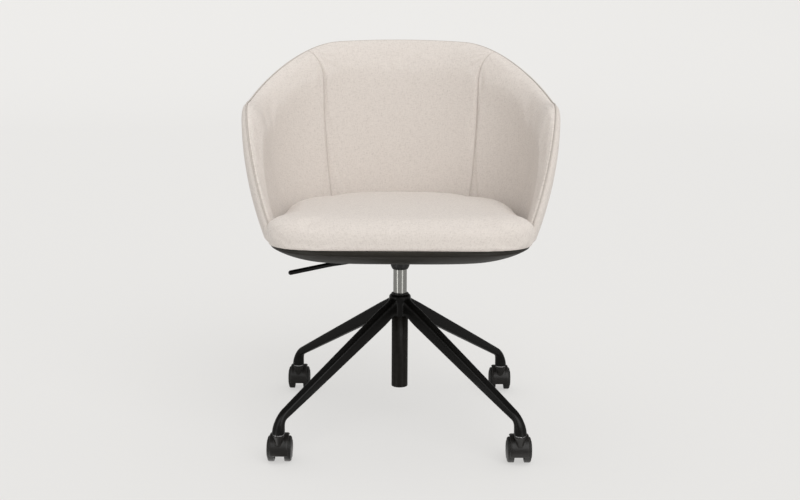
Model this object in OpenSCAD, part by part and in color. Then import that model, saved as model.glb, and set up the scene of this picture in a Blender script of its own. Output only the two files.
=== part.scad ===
// Upholstered tub office chair on a four-leg swivel base with twin-wheel casters.
// Millimetres, +Z up, the chair faces -Y, and the origin is the floor point under the swivel axis.

/* [Casters] */
// Distance between neighbouring caster stems
stem_span = 465; // [420:5:520]
// Wheel diameter
wheel_d = 50; // [46:1:54]
// Width of one wheel
wheel_w = 15; // [13:0.5:17]
// Gap between the twin wheels
wheel_gap = 20; // [18:0.5:24]
// How far the wheel axis trails behind the stem
caster_trail = 22; // [18:1:24]
// Clearance between a wheel's tread and its hood
hood_gap = 2; // [1.5:0.1:3]
// Wall of the hood
hood_wall = 4; // [3:0.5:5]
// Width of the hood over the wheels
hood_w = 38; // [34:1:44]
// Axle diameter
axle_d = 6; // [5:0.5:8]
// Stem diameter in the hood
stem_lower_d = 8; // [7:0.5:9]
// Stem diameter in the leg
stem_upper_d = 11; // [10:0.5:12]
// Length of stem inside the leg
stem_upper_h = 18; // [14:1:19]
// Diameter of the stem's collar
stem_collar_d = 20; // [18:1:22]
// Thickness of the stem's collar
stem_collar_h = 2; // [1.5:0.5:3]

/* [Base] */
// Diameter of a leg's vertical end
leg_end_d = 25.5; // [24:0.5:30]
// Height of the line of the legs' top faces at the swivel axis
leg_root_z = 289.5; // [275:0.5:296]
// Slope of the legs' top faces, in degrees
leg_slope = 30.15; // [26:0.05:32]
// Height of a leg's side at the axis
leg_root_h = 35; // [28:1:38]
// Height of a leg's side at the stem
leg_tip_h = 18; // [16:1:22]
// Width of a leg at the hub
leg_root_w = 24; // [20:1:28]
// Width of a leg at its elbow
leg_tip_w = 19; // [17:1:22]
// Outer radius of the elbow
elbow_r = 58; // [50:1:64]
// Inner radius of the elbow
elbow_inner_r = 12; // [8:1:16]
// Hub diameter
hub_d = 45; // [44:1:54]
// Bevel round the hub's top
hub_bevel = 4; // [2:0.5:6]
// Height of the hub
hub_h = 46; // [40:1:54]
// How far the hub's top lies under the legs' line at the axis
hub_drop = 3.5; // [-4:0.5:5]

/* [Gas lift] */
// Standing tube's outer diameter
stand_d = 34; // [33.5:0.1:36]
// Standing tube's wall
stand_wall = 1.5; // [1.2:0.1:1.6]
// Standing tube's lower end above the floor
stand_z = 87; // [80:1:95]
// Depth of the recess under the tube's end plate
stand_recess = 6; // [5.5:0.5:8]
// Thickness of the tube's end plate
end_plate_h = 4; // [3:0.5:5]
// Pressure tube's outer diameter
tube_d = 28; // [27.5:0.1:28.4]
// Pressure tube's wall
tube_wall = 2; // [1.5:0.1:2.5]
// Pressure tube's lower end at the photographed height
tube_z = 170; // [165:1:175]
// Silver length that shows between the hub and the collar
tube_show = 51; // [45:1:60]
// Height of the tapered seat at the top of the tube
taper_h = 43.5; // [40:0.5:48]
// Diameter at the top of the taper
taper_d = 26.2; // [25.5:0.1:27]
// Gland at the tube's lower end
gland_h = 10; // [8:1:12]
// Piston rod diameter
rod_d = 10; // [9:0.5:11]
// Height of the piston
piston_h = 8; // [6:1:10]
// Room between the piston and the gland when the seat is at its highest
piston_spare = 2; // [1:0.5:4]
// Travel up from the photographed height
lift_up = 60; // [50:1:60]
// Height of the rubber bumper
bumper_h = 13; // [10:1:15]
// Outer diameter of the rubber bumper
bumper_d = 22; // [20:1:26]
// Length of the guide bush
bush_h = 72; // [60:1:80]
// Diameter of the guide bush's flange
bush_flange_d = 36; // [35:0.5:38]
// Thickness of the guide bush's flange
bush_flange_h = 1.6; // [1.2:0.1:2.4]
// Diameter of the bearing balls
ball_d = 5; // [4:0.5:5.5]
// Number of bearing balls
ball_count = 10; // [8:1:11]
// Thickness of a bearing washer
race_h = 1.5; // [1:0.1:2]
// Outer diameter of a bearing washer
race_d = 28; // [27:0.5:28.5]
// Valve pin diameter
valve_d = 8; // [6:0.5:9]
// How far the valve pin stands over the tube
valve_show = 6.5; // [6:0.5:8]

/* [Seat mechanism] */
// Collar's outer diameter
collar_d = 39; // [38:0.5:42]
// Height of the collar's tapered mouth
collar_mouth_h = 7; // [5:1:9]
// Outer diameter of the socket
socket_d = 33.5; // [32.5:0.5:34]
// Sheet thickness of the mechanism
sheet_h = 4; // [3:0.5:4.5]
// Length of the mounting plate along X
plate_x = 180; // [160:5:190]
// Width of the mounting plate along Y
plate_y = 150; // [130:5:155]
// Bolt spacing along X
bolt_x = 150; // [120:5:155]
// Bolt spacing along Y
bolt_y = 120; // [100:5:125]
// Bolt diameter
bolt_d = 6; // [5:0.5:8]
// Distance between the two cheeks
cheek_gap = 52; // [46:1:56]
// Lever's pivot in front of the valve pin
pivot_x = 36; // [33:0.5:39]
// Pivot pin diameter
pivot_d = 6; // [5:0.5:7]
// Thickness of the lever
lever_d = 9.5; // [8:0.5:10]
// How far the lever's tip lies to the side of the swivel axis
lever_reach = 220; // [205:5:235]
// How far the lever's tip lies in front of the swivel axis
lever_forward = 70; // [60:1:80]
// How far the lever's tip lies below its pivot
lever_drop = 50.5; // [48:0.5:54]

/* [Seat] */
// Thickness of the seat board's edge
board_edge_h = 6; // [5.5:0.5:7]
// Thickness of the seat board under its edge
board_core_h = 10; // [9:0.5:11]
// Height of the pan's rim above the floor of the pan
pan_h = 44; // [43:1:50]
// Height of the pan's outer rim band
rim_h = 8; // [7:0.5:9]
// Width of the pan's rim band
rim_w = 4; // [3:0.5:5]
// Wall of the pan's floor
pan_wall = 3; // [2.5:0.5:3.5]
// Pan's edge inside the tub's outer face at its foot, at each side
pan_side_in = 14.5; // [12:0.5:18]
// Pan's reach in front of the seat's centre
pan_front = 195; // [188:1:198]
// Pan's reach behind the seat's centre
pan_back = 262; // [250:1:266]
// Seat centre in front of the swivel axis
seat_shift = 60; // [55:1:65]
// Half width of the pan's flat floor
floor_half_w = 194; // [180:1:200]
// Floor's reach in front of the seat's centre
floor_front = 97; // [90:1:100]
// Floor's reach behind the seat's centre
floor_back = 165; // [150:1:180]
// Height of the cushion's crown over the board
cushion_h = 58; // [50:1:62]
// Cushion's front corners inside the tub's outer face at its foot
cushion_side_in = 2; // [1:0.5:12]
// Cushion's sides between the arms inside the tub's outer face at its foot
cushion_arm_in = 32.5; // [28:0.5:36]
// Cushion's reach in front of the seat's centre
cushion_front = 206; // [200:1:210]
// Cushion's reach behind the seat's centre
cushion_back = 237; // [230:1:240]

/* [Tub shell] */
// Largest outer width of the tub
tub_w = 626; // [612:1:650]
// Height over the board at which the tub is widest
tub_widest_h = 225; // [200:5:240]
// How much narrower the tub is at its bottom, each side
tub_tuck = 40.5; // [30:0.5:45]
// Back of the tub behind the swivel axis, at the board
tub_back_y = 214; // [205:1:222]
// How far the back leans from the board to its top
tub_lean = 42; // [30:1:50]
// Height of the backrest over the board
back_h = 374.5; // [340:0.5:400]
// Height of the armrests over the board
arm_h = 258.5; // [240:0.5:266]
// Thickness of the padded wall at the arms' fronts
rim_roll = 38; // [34:1:42]
// Thickness of the padded wall at the back
wall_back = 42; // [40:1:48]
// Thickness of the padded wall at the sides
wall_side = 46; // [42:1:50]
// Depth of the outer cover with its thin foam
cover_h = 9; // [8:0.5:10]
// Thickness of the moulded shell
core_h = 8; // [6:0.5:10]
// Diameter of the piping round the rim
piping_d = 3; // [2:0.5:4]

/* [Hidden] */

// Running clearance on a radius, and clearance between still pieces
run_gap = 0.05;
seat_gap = 0.3;
// Overrun of every cut
over = 1;
$fn = 64;

// Levels of the casters and of the legs' ends
axle_z = wheel_d/2;
hood_r = wheel_d/2 + hood_gap + hood_wall;
neck_h = 3.7;
stem_seat_z = axle_z + hood_r + neck_h;
leg_end_z = stem_seat_z + seat_gap + stem_collar_h;
stem_xy = stem_span/2;
stem_r = stem_xy*sqrt(2);

// Levels of the gas lift, from the floor up
hub_top_z = leg_root_z - hub_drop;
hub_z = hub_top_z - hub_h;
bush_top_z = hub_top_z + bush_flange_h;
stand_bore_d = stand_d - 2*stand_wall;
plate_z = stand_z + stand_recess;
plate_top_z = plate_z + end_plate_h;
ball_z = plate_top_z + race_h + run_gap + ball_d/2;
race_upper_z = ball_z + ball_d/2 + run_gap;
race_room = 2;
race_bore_d = rod_d + race_room;
shoulder_z = race_upper_z + race_h;
shoulder_h = 4;
shoulder_d = 17;
clip_h = 1.2;
clip_z = plate_z - race_h - seat_gap - clip_h;
rod_end_z = clip_z - clip_h;
groove_depth = 1;
tube_bore_d = tube_d - 2*tube_wall;
piston_z = tube_z + lift_up + gland_h + piston_spare;
rod_top_z = piston_z + piston_h;

// Levels of the seat's mechanism
collar_z = bush_top_z + tube_show;
socket_z = collar_z + collar_mouth_h;
tube_top_z = socket_z + taper_h;
valve_top_z = tube_top_z + valve_show;
valve_deep = 24;
valve_room = 6;
nose_gap = 0.1;
nose_r = 4;
nose_drop = 1.4;
lever_arm_z = valve_top_z + nose_gap + nose_drop;
lever_arm_h = 6;
lever_arm_w = 12;
lever_room = 1.4;
plate_under_z = lever_arm_z + lever_arm_h + lever_room;
web_drop = 20;
web_z = plate_under_z - web_drop;
web_top_z = web_z + sheet_h;
pivot_drop = 1;
pivot_z = valve_top_z - pivot_drop;
pivot_boss_r = 6;
cheek_outer = cheek_gap/2 + sheet_h;
cheek_reach = 10;

// Levels of the seat
board_core_z = plate_under_z + sheet_h;
board_edge_z = board_core_z + board_core_h;
seat_z = board_edge_z + board_edge_h;
rim_z = seat_z - rim_h;
pan_z = seat_z - pan_h;

// Half widths of the pan and the cushion, from the tub's half width at its foot
foot_half_w = tub_w/2 - tub_tuck;
pan_half_w = foot_half_w - pan_side_in;
cushion_half_w = foot_half_w - cushion_side_in;
cushion_inner_half_w = foot_half_w - cushion_arm_in;

// One point of an oval plan: different reach in front of and behind its widest line
function oval(angle, half_w, front, back, front_power, back_power) =
    let (reach = sin(angle) < 0 ? front : back,
         power = sin(angle) < 0 ? front_power : back_power,
         span = pow(pow(abs(cos(angle))/half_w, power) + pow(abs(sin(angle))/reach, power),
             -1/power))
    [span*cos(angle), span*sin(angle)];
function mix(from, to, part) = from + (to - from)*part;
function clamp(value, low, high) = max(low, min(high, value));
function ease(part) = let (c = clamp(part, 0, 1)) c*c*(3 - 2*c);

// Closed solid through rings of equally many points, capped flat at both ends
module loft(rings) {
    count = len(rings[0]);
    last = len(rings) - 1;
    points = [for (ring = rings) for (point = ring) point];
    sides = [for (r = [0:last - 1]) for (j = [0:count - 1])
        let (k = (j + 1)%count, a = r*count, b = (r + 1)*count)
        each [[a + j, b + j, b + k], [a + j, b + k, a + k]]];
    low_cap = [for (j = [0:count - 1]) j];
    high_cap = [for (j = [count - 1:-1:0]) last*count + j];
    polyhedron(points, concat(sides, [low_cap, high_cap]));
}

// Closed strip through sections of equally many points: half go out, half come back. Its quads
// are split along one diagonal or, crossed, along the other.
module strip(sections, crossed = false) {
    count = len(sections[0]);
    last = len(sections) - 1;
    points = [for (section = sections) for (point = section) point];
    sides = [for (r = [0:last - 1]) for (j = [0:count - 1])
        let (k = (j + 1)%count, a = r*count, b = (r + 1)*count)
        each crossed ? [[a + j, a + k, b + j], [a + k, b + k, b + j]]
            : [[a + j, a + k, b + k], [a + j, b + k, b + j]]];
    low_cap = [for (j = [0:count/2 - 2]) let (c = count - 1 - j)
        each [[j, c, c - 1], [j, c - 1, j + 1]]];
    high_cap = [for (j = [0:count/2 - 2]) let (a = last*count, c = count - 1 - j)
        each [[a + j, a + c - 1, a + c], [a + j, a + j + 1, a + c - 1]]];
    polyhedron(points, concat(sides, low_cap, high_cap));
}

// Ring about the swivel axis
module tube(z, height, outer_d, inner_d) {
    translate([0, 0, z])
        difference() {
            cylinder(d = outer_d, h = height);
            translate([0, 0, -over]) cylinder(d = inner_d, h = height + 2*over);
        }
}

// Casting: legs, elbows, vertical ends and hub
elbow_reach = stem_r + leg_end_d/2;
elbow_inner = stem_r - leg_end_d/2;
function leg_top(r) = leg_root_z - r*tan(leg_slope);
function leg_under(r) = leg_top(r) - mix(leg_root_h, leg_tip_h, r/stem_r);
quarter_turn = 90;
elbow_centre_r = elbow_reach - elbow_r;
elbow_centre_z = leg_top(elbow_centre_r) - elbow_r/cos(leg_slope);
under_slope = atan((leg_under(0) - leg_under(stem_r))/stem_r);
inner_centre_r = elbow_inner - elbow_inner_r;
inner_centre_z = leg_under(inner_centre_r) - elbow_inner_r/cos(under_slope);

module leg_side() {
    arc_steps = 12;
    polygon(concat(
        [[0, leg_top(0)]],
        [for (i = [0:arc_steps]) let (a = mix(quarter_turn - leg_slope, 0, i/arc_steps))
            [elbow_centre_r + elbow_r*cos(a), elbow_centre_z + elbow_r*sin(a)]],
        [[elbow_reach, leg_end_z], [elbow_inner, leg_end_z]],
        [for (i = [0:arc_steps]) let (a = mix(0, quarter_turn - under_slope, i/arc_steps))
            [inner_centre_r + elbow_inner_r*cos(a), inner_centre_z + elbow_inner_r*sin(a)]],
        [[0, leg_under(0)]]));
}

module leg_side_bar(width) {
    rotate([90, 0, 0])
        translate([0, 0, -width/2])
            linear_extrude(width) leg_side();
}

module leg() {
    intersection() {
        leg_side_bar(leg_root_w);
        linear_extrude(leg_root_z + over)
            polygon([[0, -leg_root_w/2], [stem_r, -leg_tip_w/2],
                [stem_r, leg_tip_w/2], [0, leg_root_w/2]]);
    }
    intersection() {
        leg_side_bar(leg_end_d);
        translate([stem_r, 0, leg_end_z]) cylinder(d = leg_end_d, h = leg_root_z);
    }
}

module base_casting() {
    color([0.07, 0.07, 0.07])
        difference() {
            union() {
                for (turn = [45:90:315]) rotate([0, 0, turn]) leg();
                translate([0, 0, hub_z]) cylinder(d = hub_d, h = hub_h - hub_bevel);
                translate([0, 0, hub_top_z - hub_bevel])
                    cylinder(d1 = hub_d, d2 = hub_d - 2*hub_bevel, h = hub_bevel);
            }
            translate([0, 0, hub_z - leg_root_h])
                cylinder(d = stand_d + 2*run_gap, h = hub_h + 2*leg_root_h);
            for (turn = [45:90:315]) rotate([0, 0, turn])
                translate([stem_r, 0, leg_end_z - over])
                    cylinder(d = stem_upper_d + 2*run_gap, h = stem_upper_h + 2*over);
        }
}

// Gas lift, still half: tube, bush and lower race
module standing_tube() {
    edge = stand_wall;
    color([0.1, 0.09, 0.08])
        difference() {
            union() {
                translate([0, 0, stand_z])
                    cylinder(d1 = stand_d - 2*edge, d2 = stand_d, h = edge);
                translate([0, 0, stand_z + edge])
                    cylinder(d = stand_d, h = hub_top_z - stand_z - edge);
            }
            translate([0, 0, stand_z - over])
                cylinder(d = stand_bore_d - 2*edge, h = stand_recess + over);
            translate([0, 0, plate_z - over])
                cylinder(d = rod_d + 2*run_gap, h = end_plate_h + 2*over);
            translate([0, 0, plate_top_z]) cylinder(d = stand_bore_d, h = hub_top_z);
        }
}

module guide_bush() {
    color([0.12, 0.12, 0.12])
        difference() {
            union() {
                translate([0, 0, hub_top_z - bush_h])
                    cylinder(d = stand_bore_d - 2*run_gap, h = bush_h);
                translate([0, 0, hub_top_z]) cylinder(d = bush_flange_d, h = bush_flange_h);
            }
            translate([0, 0, hub_top_z - bush_h - over])
                cylinder(d = tube_d + 2*run_gap, h = bush_h + bush_flange_h + 2*over);
        }
}

module thrust_washer_lower() {
    color([0.6, 0.6, 0.62]) tube(plate_top_z, race_h, race_d, race_bore_d);
}

module thrust_balls() {
    color([0.75, 0.75, 0.77])
        for (i = [0:ball_count - 1])
            rotate([0, 0, i*360/ball_count])
                translate([(race_d + race_bore_d)/4, 0, ball_z])
                    sphere(d = ball_d, $fn = 24);
}

// Gas lift, turning half: upper race, rod, bumper, washer and clip
module thrust_washer_upper() {
    color([0.6, 0.6, 0.62]) tube(race_upper_z, race_h, race_d, rod_d + 2*run_gap);
}

module piston_rod() {
    groove_z = clip_z - run_gap;
    groove_h = clip_h + 2*run_gap;
    color([0.7, 0.7, 0.72])
        difference() {
            union() {
                translate([0, 0, rod_end_z]) cylinder(d = rod_d, h = rod_top_z - rod_end_z);
                translate([0, 0, shoulder_z]) cylinder(d = shoulder_d, h = shoulder_h);
                translate([0, 0, piston_z])
                    cylinder(d = tube_bore_d - 2*run_gap, h = piston_h);
            }
            tube(groove_z, groove_h, rod_d + over, rod_d - 2*groove_depth);
        }
}

module rod_washer() {
    color([0.6, 0.6, 0.62])
        tube(plate_z - seat_gap - race_h, race_h, shoulder_d + race_room, rod_d + 2*run_gap);
}

module rod_clip() {
    color([0.3, 0.3, 0.3])
        difference() {
            tube(clip_z, clip_h, shoulder_d, rod_d - 2*groove_depth + 2*run_gap);
            translate([rod_d/4, -rod_d/4, clip_z - over])
                cube([shoulder_d, rod_d/2, clip_h + 2*over]);
        }
}

module rubber_bumper() {
    color([0.08, 0.08, 0.08])
        tube(shoulder_z + shoulder_h, bumper_h, bumper_d, rod_d + 4*run_gap);
}

// Gas lift, sliding half: pressure tube with its tapered top, and the valve pin
module pressure_tube() {
    bore_top_z = socket_z - 2*gland_h;
    color([0.75, 0.75, 0.74])
        difference() {
            union() {
                translate([0, 0, tube_z]) cylinder(d = tube_d, h = socket_z - tube_z);
                translate([0, 0, socket_z])
                    cylinder(d1 = tube_d, d2 = taper_d, h = taper_h);
            }
            translate([0, 0, tube_z - over])
                cylinder(d = rod_d + 2*run_gap, h = gland_h + 2*over);
            translate([0, 0, tube_z + gland_h])
                cylinder(d = tube_bore_d, h = bore_top_z - tube_z - gland_h);
            translate([0, 0, tube_top_z - valve_deep])
                cylinder(d = valve_d + 2*run_gap, h = valve_deep + over);
        }
}

module valve_pin() {
    pin_deep = valve_deep - valve_room;
    color([0.2, 0.2, 0.2])
        translate([0, 0, tube_top_z - pin_deep])
            cylinder(d = valve_d, h = pin_deep + valve_show);
}

// Plastic collar round the socket, with a tapered mouth over the silver tube
module collar_sleeve() {
    color([0.08, 0.08, 0.08])
        difference() {
            union() {
                translate([0, 0, collar_z])
                    cylinder(d1 = collar_d - collar_mouth_h, d2 = collar_d, h = collar_mouth_h);
                translate([0, 0, socket_z]) cylinder(d = collar_d, h = web_z - socket_z);
            }
            translate([0, 0, collar_z - over])
                cylinder(d = tube_d + 4*run_gap, h = collar_mouth_h + over);
            translate([0, 0, socket_z])
                cylinder(d = socket_d + 2*run_gap, h = web_z - socket_z + over);
        }
}

// The four bolts that hold the mechanism to the board
module at_bolts() {
    for (x = [-bolt_x/2, bolt_x/2])
        for (y = [-bolt_y/2, bolt_y/2])
            translate([x, y, 0]) children();
}

// Pressed steel mechanism: plate, two cheeks, web and tapered socket
module mechanism_housing() {
    web_x = socket_d/2 + cheek_reach;
    front_x = pivot_x + cheek_reach;
    socket_foot_z = socket_z + seat_gap;
    color([0.15, 0.15, 0.16])
        difference() {
            union() {
                translate([-plate_x/2, -plate_y/2, plate_under_z])
                    cube([plate_x, plate_y, sheet_h]);
                for (side = [-1, 1])
                    translate([-front_x, side*(cheek_gap + sheet_h)/2 - sheet_h/2, web_z])
                        cube([front_x + pivot_x, sheet_h, plate_under_z - web_z]);
                translate([-web_x, -cheek_outer, web_z])
                    cube([web_x + pivot_x, 2*cheek_outer, sheet_h]);
                translate([0, 0, socket_foot_z])
                    cylinder(d = socket_d, h = web_top_z - socket_foot_z);
            }
            translate([0, 0, socket_z])
                cylinder(d1 = tube_d + 2*run_gap,
                    d2 = mix(tube_d, taper_d, (web_top_z - socket_z)/taper_h) + 2*run_gap,
                    h = web_top_z - socket_z);
            translate([0, 0, socket_z - over])
                cylinder(d = tube_d + 2*run_gap, h = over);
            translate([0, 0, web_top_z - run_gap]) cylinder(d = taper_d, h = over);
            translate([-pivot_x, cheek_outer + over, pivot_z])
                rotate([90, 0, 0])
                    cylinder(d = pivot_d + run_gap, h = 2*cheek_outer + 2*over);
            at_bolts() translate([0, 0, plate_under_z - over])
                cylinder(d = bolt_d + 2*seat_gap, h = sheet_h + 2*over);
        }
}

// Lever: a shaped rod from the pivot down through the pan and out to the side
lever_path_shares = [[0, 0, 0], [0.076, 0.07, 0.16], [0.174, 0.17, 0.44], [0.32, 0.34, 0.68],
    [0.57, 0.54, 0.79], [0.72, 0.71, 0.86], [1, 1, 1]];
lever_path = [for (share = lever_path_shares)
    [-mix(pivot_x, lever_reach, share[0]), -lever_forward*share[1],
        pivot_z - lever_drop*share[2]]];

module ball_at(place) {
    translate(place) sphere(d = lever_d, $fn = 20);
}

module lever() {
    boss_l = cheek_gap - 2*seat_gap;
    color([0.06, 0.06, 0.06])
        difference() {
            union() {
                for (i = [0:len(lever_path) - 2])
                    hull() {
                        ball_at(lever_path[i]);
                        ball_at(lever_path[i + 1]);
                    }
                translate([-pivot_x, boss_l/2, pivot_z])
                    rotate([90, 0, 0]) cylinder(r = pivot_boss_r, h = boss_l);
                translate([-pivot_x, -lever_arm_w/2, lever_arm_z])
                    cube([pivot_x + nose_r, lever_arm_w, lever_arm_h]);
                translate([0, lever_arm_w/2, valve_top_z + nose_gap + nose_r])
                    rotate([90, 0, 0]) cylinder(r = nose_r, h = lever_arm_w);
            }
            translate([-pivot_x, boss_l/2 + over, pivot_z])
                rotate([90, 0, 0])
                    cylinder(d = pivot_d + 2*run_gap, h = boss_l + 2*over);
        }
}

module lever_pin() {
    head_h = 1.5;
    pin_l = 2*cheek_outer + 2*seat_gap;
    color([0.6, 0.6, 0.62])
        translate([-pivot_x, pin_l/2, pivot_z])
            rotate([90, 0, 0]) {
                cylinder(d = pivot_d, h = pin_l);
                for (z = [-head_h, pin_l])
                    translate([0, 0, z]) cylinder(d = pivot_d + 2*head_h, h = head_h);
            }
}

// Seat board, its bolts and nuts
pan_front_power = 3.5;
pan_back_power = 2.3;
plan_steps = 64;
function pan_ring(z, inset) = [for (i = [0:plan_steps - 1])
    let (p = oval(i*360/plan_steps, pan_half_w - inset, pan_front - inset, pan_back - inset,
        pan_front_power, pan_back_power))
    [p[0], p[1] - seat_shift, z]];
function floor_ring(z, inset) = [for (i = [0:plan_steps - 1])
    let (p = oval(i*360/plan_steps, floor_half_w - inset, floor_front - inset,
        floor_back - inset, pan_front_power, pan_back_power))
    [p[0], p[1] - seat_shift, z]];
function flat(ring) = [for (p = ring) [p[0], p[1]]];

nut_d = 20;
nut_h = 1.5;
nut_wall = 1.5;
nut_barrel_d = bolt_d + 2*nut_wall;
board_step = 40;
screw_d = 4;
screw_head_h = 2.5;
screw_bite = 8;

module seat_board() {
    color([0.72, 0.6, 0.42])
        difference() {
            union() {
                translate([0, 0, board_edge_z])
                    linear_extrude(board_edge_h)
                        polygon(flat(pan_ring(0, rim_w + seat_gap)));
                translate([0, 0, board_core_z])
                    linear_extrude(board_core_h + over)
                        polygon(flat(pan_ring(0, board_step)));
            }
            at_bolts() {
                translate([0, 0, board_core_z - over])
                    cylinder(d = nut_barrel_d + 2*run_gap, h = seat_z - board_core_z + 2*over);
                translate([0, 0, seat_z - nut_h - seat_gap])
                    cylinder(d = nut_d + 2*seat_gap, h = nut_h + seat_gap + over);
            }
            at_pan_screws() translate([0, 0, board_core_z - over])
                cylinder(d = screw_d + 2*run_gap, h = screw_bite + over);
            at_shell_screws() translate([0, 0, board_edge_z - over])
                cylinder(d = screw_d + 2*run_gap, h = board_edge_h + 2*over);
            at_shell_screws() translate([0, 0, board_edge_z - over])
                cylinder(d = 2*screw_d + 2*run_gap, h = screw_head_h + seat_gap + over);
        }
}

module mechanism_bolts() {
    head_h = 4;
    bolt_l = sheet_h + board_core_h + board_edge_h - nut_h;
    color([0.5, 0.5, 0.52])
        at_bolts() {
            translate([0, 0, plate_under_z]) cylinder(d = bolt_d, h = bolt_l);
            translate([0, 0, plate_under_z - head_h]) cylinder(d = 2*bolt_d, h = head_h);
        }
}

module tee_nuts() {
    color([0.65, 0.65, 0.66])
        at_bolts() difference() {
            union() {
                translate([0, 0, seat_z - nut_h - seat_gap]) cylinder(d = nut_d, h = nut_h);
                translate([0, 0, board_core_z + over])
                    cylinder(d = nut_barrel_d, h = seat_z - seat_gap - board_core_z - over);
            }
            translate([0, 0, board_core_z])
                cylinder(d = bolt_d + 2*run_gap, h = seat_z - board_core_z);
        }
}

// Moulded pan under the seat, with its rim, screw bosses and openings
boss_d = 12;
boss_share_x = 0.62;
boss_share_front = 0.5;
boss_share_back = 0.62;

module at_pan_screws() {
    for (side = [-1, 1]) {
        translate([side*boss_share_x*floor_half_w, -seat_shift - boss_share_front*floor_front, 0])
            children();
        translate([side*boss_share_x*floor_half_w, -seat_shift + boss_share_back*floor_back, 0])
            children();
    }
}

module seat_pan() {
    lip = 3;
    lip_h = 0.5;
    step_h = 1.6;
    slot_l = 34;
    slot_w = 24;
    floor_mid_z = pan_z + pan_wall/2;
    slot_share = (lever_path[1][2] - floor_mid_z)/(lever_path[1][2] - lever_path[2][2]);
    slot_centre = mix(lever_path[1], lever_path[2], slot_share);
    color([0.1, 0.095, 0.09])
        difference() {
            union() {
                loft([floor_ring(pan_z, 0), pan_ring(rim_z, lip), pan_ring(rim_z + lip_h, 0),
                    pan_ring(seat_z, 0), pan_ring(seat_z, rim_w),
                    pan_ring(rim_z + step_h, rim_w), floor_ring(pan_z + pan_wall, pan_wall)]);
                at_pan_screws() translate([0, 0, floor_mid_z])
                    cylinder(d = boss_d, h = board_core_z - seat_gap - floor_mid_z);
            }
            translate([0, 0, pan_z - over])
                cylinder(d = collar_d + 2*seat_gap, h = pan_wall + 2*over);
            translate([slot_centre[0] - slot_l/2, slot_centre[1] - slot_w/2, pan_z - over])
                cube([slot_l, slot_w, pan_wall + 2*over]);
            at_pan_screws() {
                translate([0, 0, pan_z - over])
                    cylinder(d = screw_d + 2*run_gap, h = board_core_z - pan_z + over);
                translate([0, 0, pan_z - over])
                    cylinder(d = 2*screw_d + 2*seat_gap, h = screw_head_h + over);
            }
        }
}

module pan_screws() {
    color([0.2, 0.2, 0.2])
        at_pan_screws() {
            translate([0, 0, pan_z]) cylinder(d = 2*screw_d, h = screw_head_h);
            translate([0, 0, pan_z + screw_head_h])
                cylinder(d = screw_d, h = board_core_z + screw_bite - pan_z - screw_head_h - over);
        }
}

// Seat cushion: wide in front of the arms, narrower between them, with drawn-in sides and a crown
cushion_front_power = 4;
cushion_back_power = 2.1;
cushion_flare = 12;
notch_y = -190;
notch_soft = 8;
cushion_steps = 72;
cushion_height_shares = [0, 0.06, 0.16, 0.32, 0.5, 0.66, 0.78, 0.87, 0.93, 0.97, 0.99];
cushion_plan_shares = [0.955, 0.978, 0.993, 1, 0.998, 0.985, 0.958, 0.9, 0.8, 0.62, 0.36];
function cushion_plan(angle, grow) =
    let (half_w = sin(angle) < 0 ? cushion_half_w : cushion_inner_half_w,
         p = oval(angle, half_w + grow, cushion_front + grow, cushion_back + grow,
             cushion_front_power, cushion_back_power),
         y = p[1] - seat_shift,
         side_w = cushion_inner_half_w + grow
             + cushion_flare*max(0, -seat_shift - y)/(-seat_shift - notch_y),
         held = min(abs(p[0]), side_w),
         x = mix(abs(p[0]), held, ease((y - notch_y)/notch_soft + 0.5)))
    [sign(p[0])*x, y];
function cushion_ring(k, grow, deeper) =
    [for (i = [0:cushion_steps - 1])
        let (p = cushion_plan(i*360/cushion_steps, grow), share = cushion_plan_shares[k])
        [p[0]*share, (p[1] + seat_shift)*share - seat_shift,
            seat_z + seat_gap + cushion_height_shares[k]*(cushion_h + grow) - deeper]];

module cushion_form(grow, deeper) {
    last = len(cushion_height_shares) - 1;
    loft([for (k = [0:last]) cushion_ring(k, grow, k == 0 ? deeper : 0)]);
}

module seat_cushion() {
    color([0.84, 0.8, 0.77]) cushion_form(0, 0);
}

// Keeps what is upholstered beside the cushion clear of it
module beside_cushion() {
    difference() {
        children();
        cushion_form(seat_gap, over);
    }
}

// Tub shell: its outer face over angle and height, the angle from +X about the tub's centre
tub_centre_y = -30;
tub_front = 327;
tub_power = 2.25;
widest_z = seat_z + tub_widest_h;
function tub_half_w(z) = tub_w/2 - tub_tuck*pow((widest_z - z)/tub_widest_h, 2);
function tub_back(z) = tub_back_y + tub_lean*(z - seat_z)/back_h - tub_centre_y;
function tub_face(angle, z, depth) =
    let (half_w = tub_half_w(z),
         reach = sin(angle) < 0 ? tub_front : tub_back(z),
         p = oval(angle, half_w, tub_front, tub_back(z), tub_power, tub_power),
         slope_x = pow(abs(p[0])/half_w, tub_power - 1)/half_w*sign(p[0]),
         slope_y = pow(abs(p[1])/reach, tub_power - 1)/reach*sign(p[1]),
         size = norm([slope_x, slope_y]))
    [p[0] - depth*slope_x/size, tub_centre_y + p[1] - depth*slope_y/size, z];

// The rim runs along the back, falls at the shoulder to the arm and turns down the arm's front
shoulder_low = 0;
shoulder_high = 62.3;
shoulder_power = 0.93;
crown_share = 0.147;
seam_angle = 47;
rim_corner = -3.6;
rim_foot = -33.2;
rim_foot_h = 5;
corner_share = 0.49;
arm_angle_shares = [0.545, 0.665];
arm_height_shares = [0.975, 0.66];
back_rings = 7;
arm_rings = 24;
last_column = back_rings + arm_rings;

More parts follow.
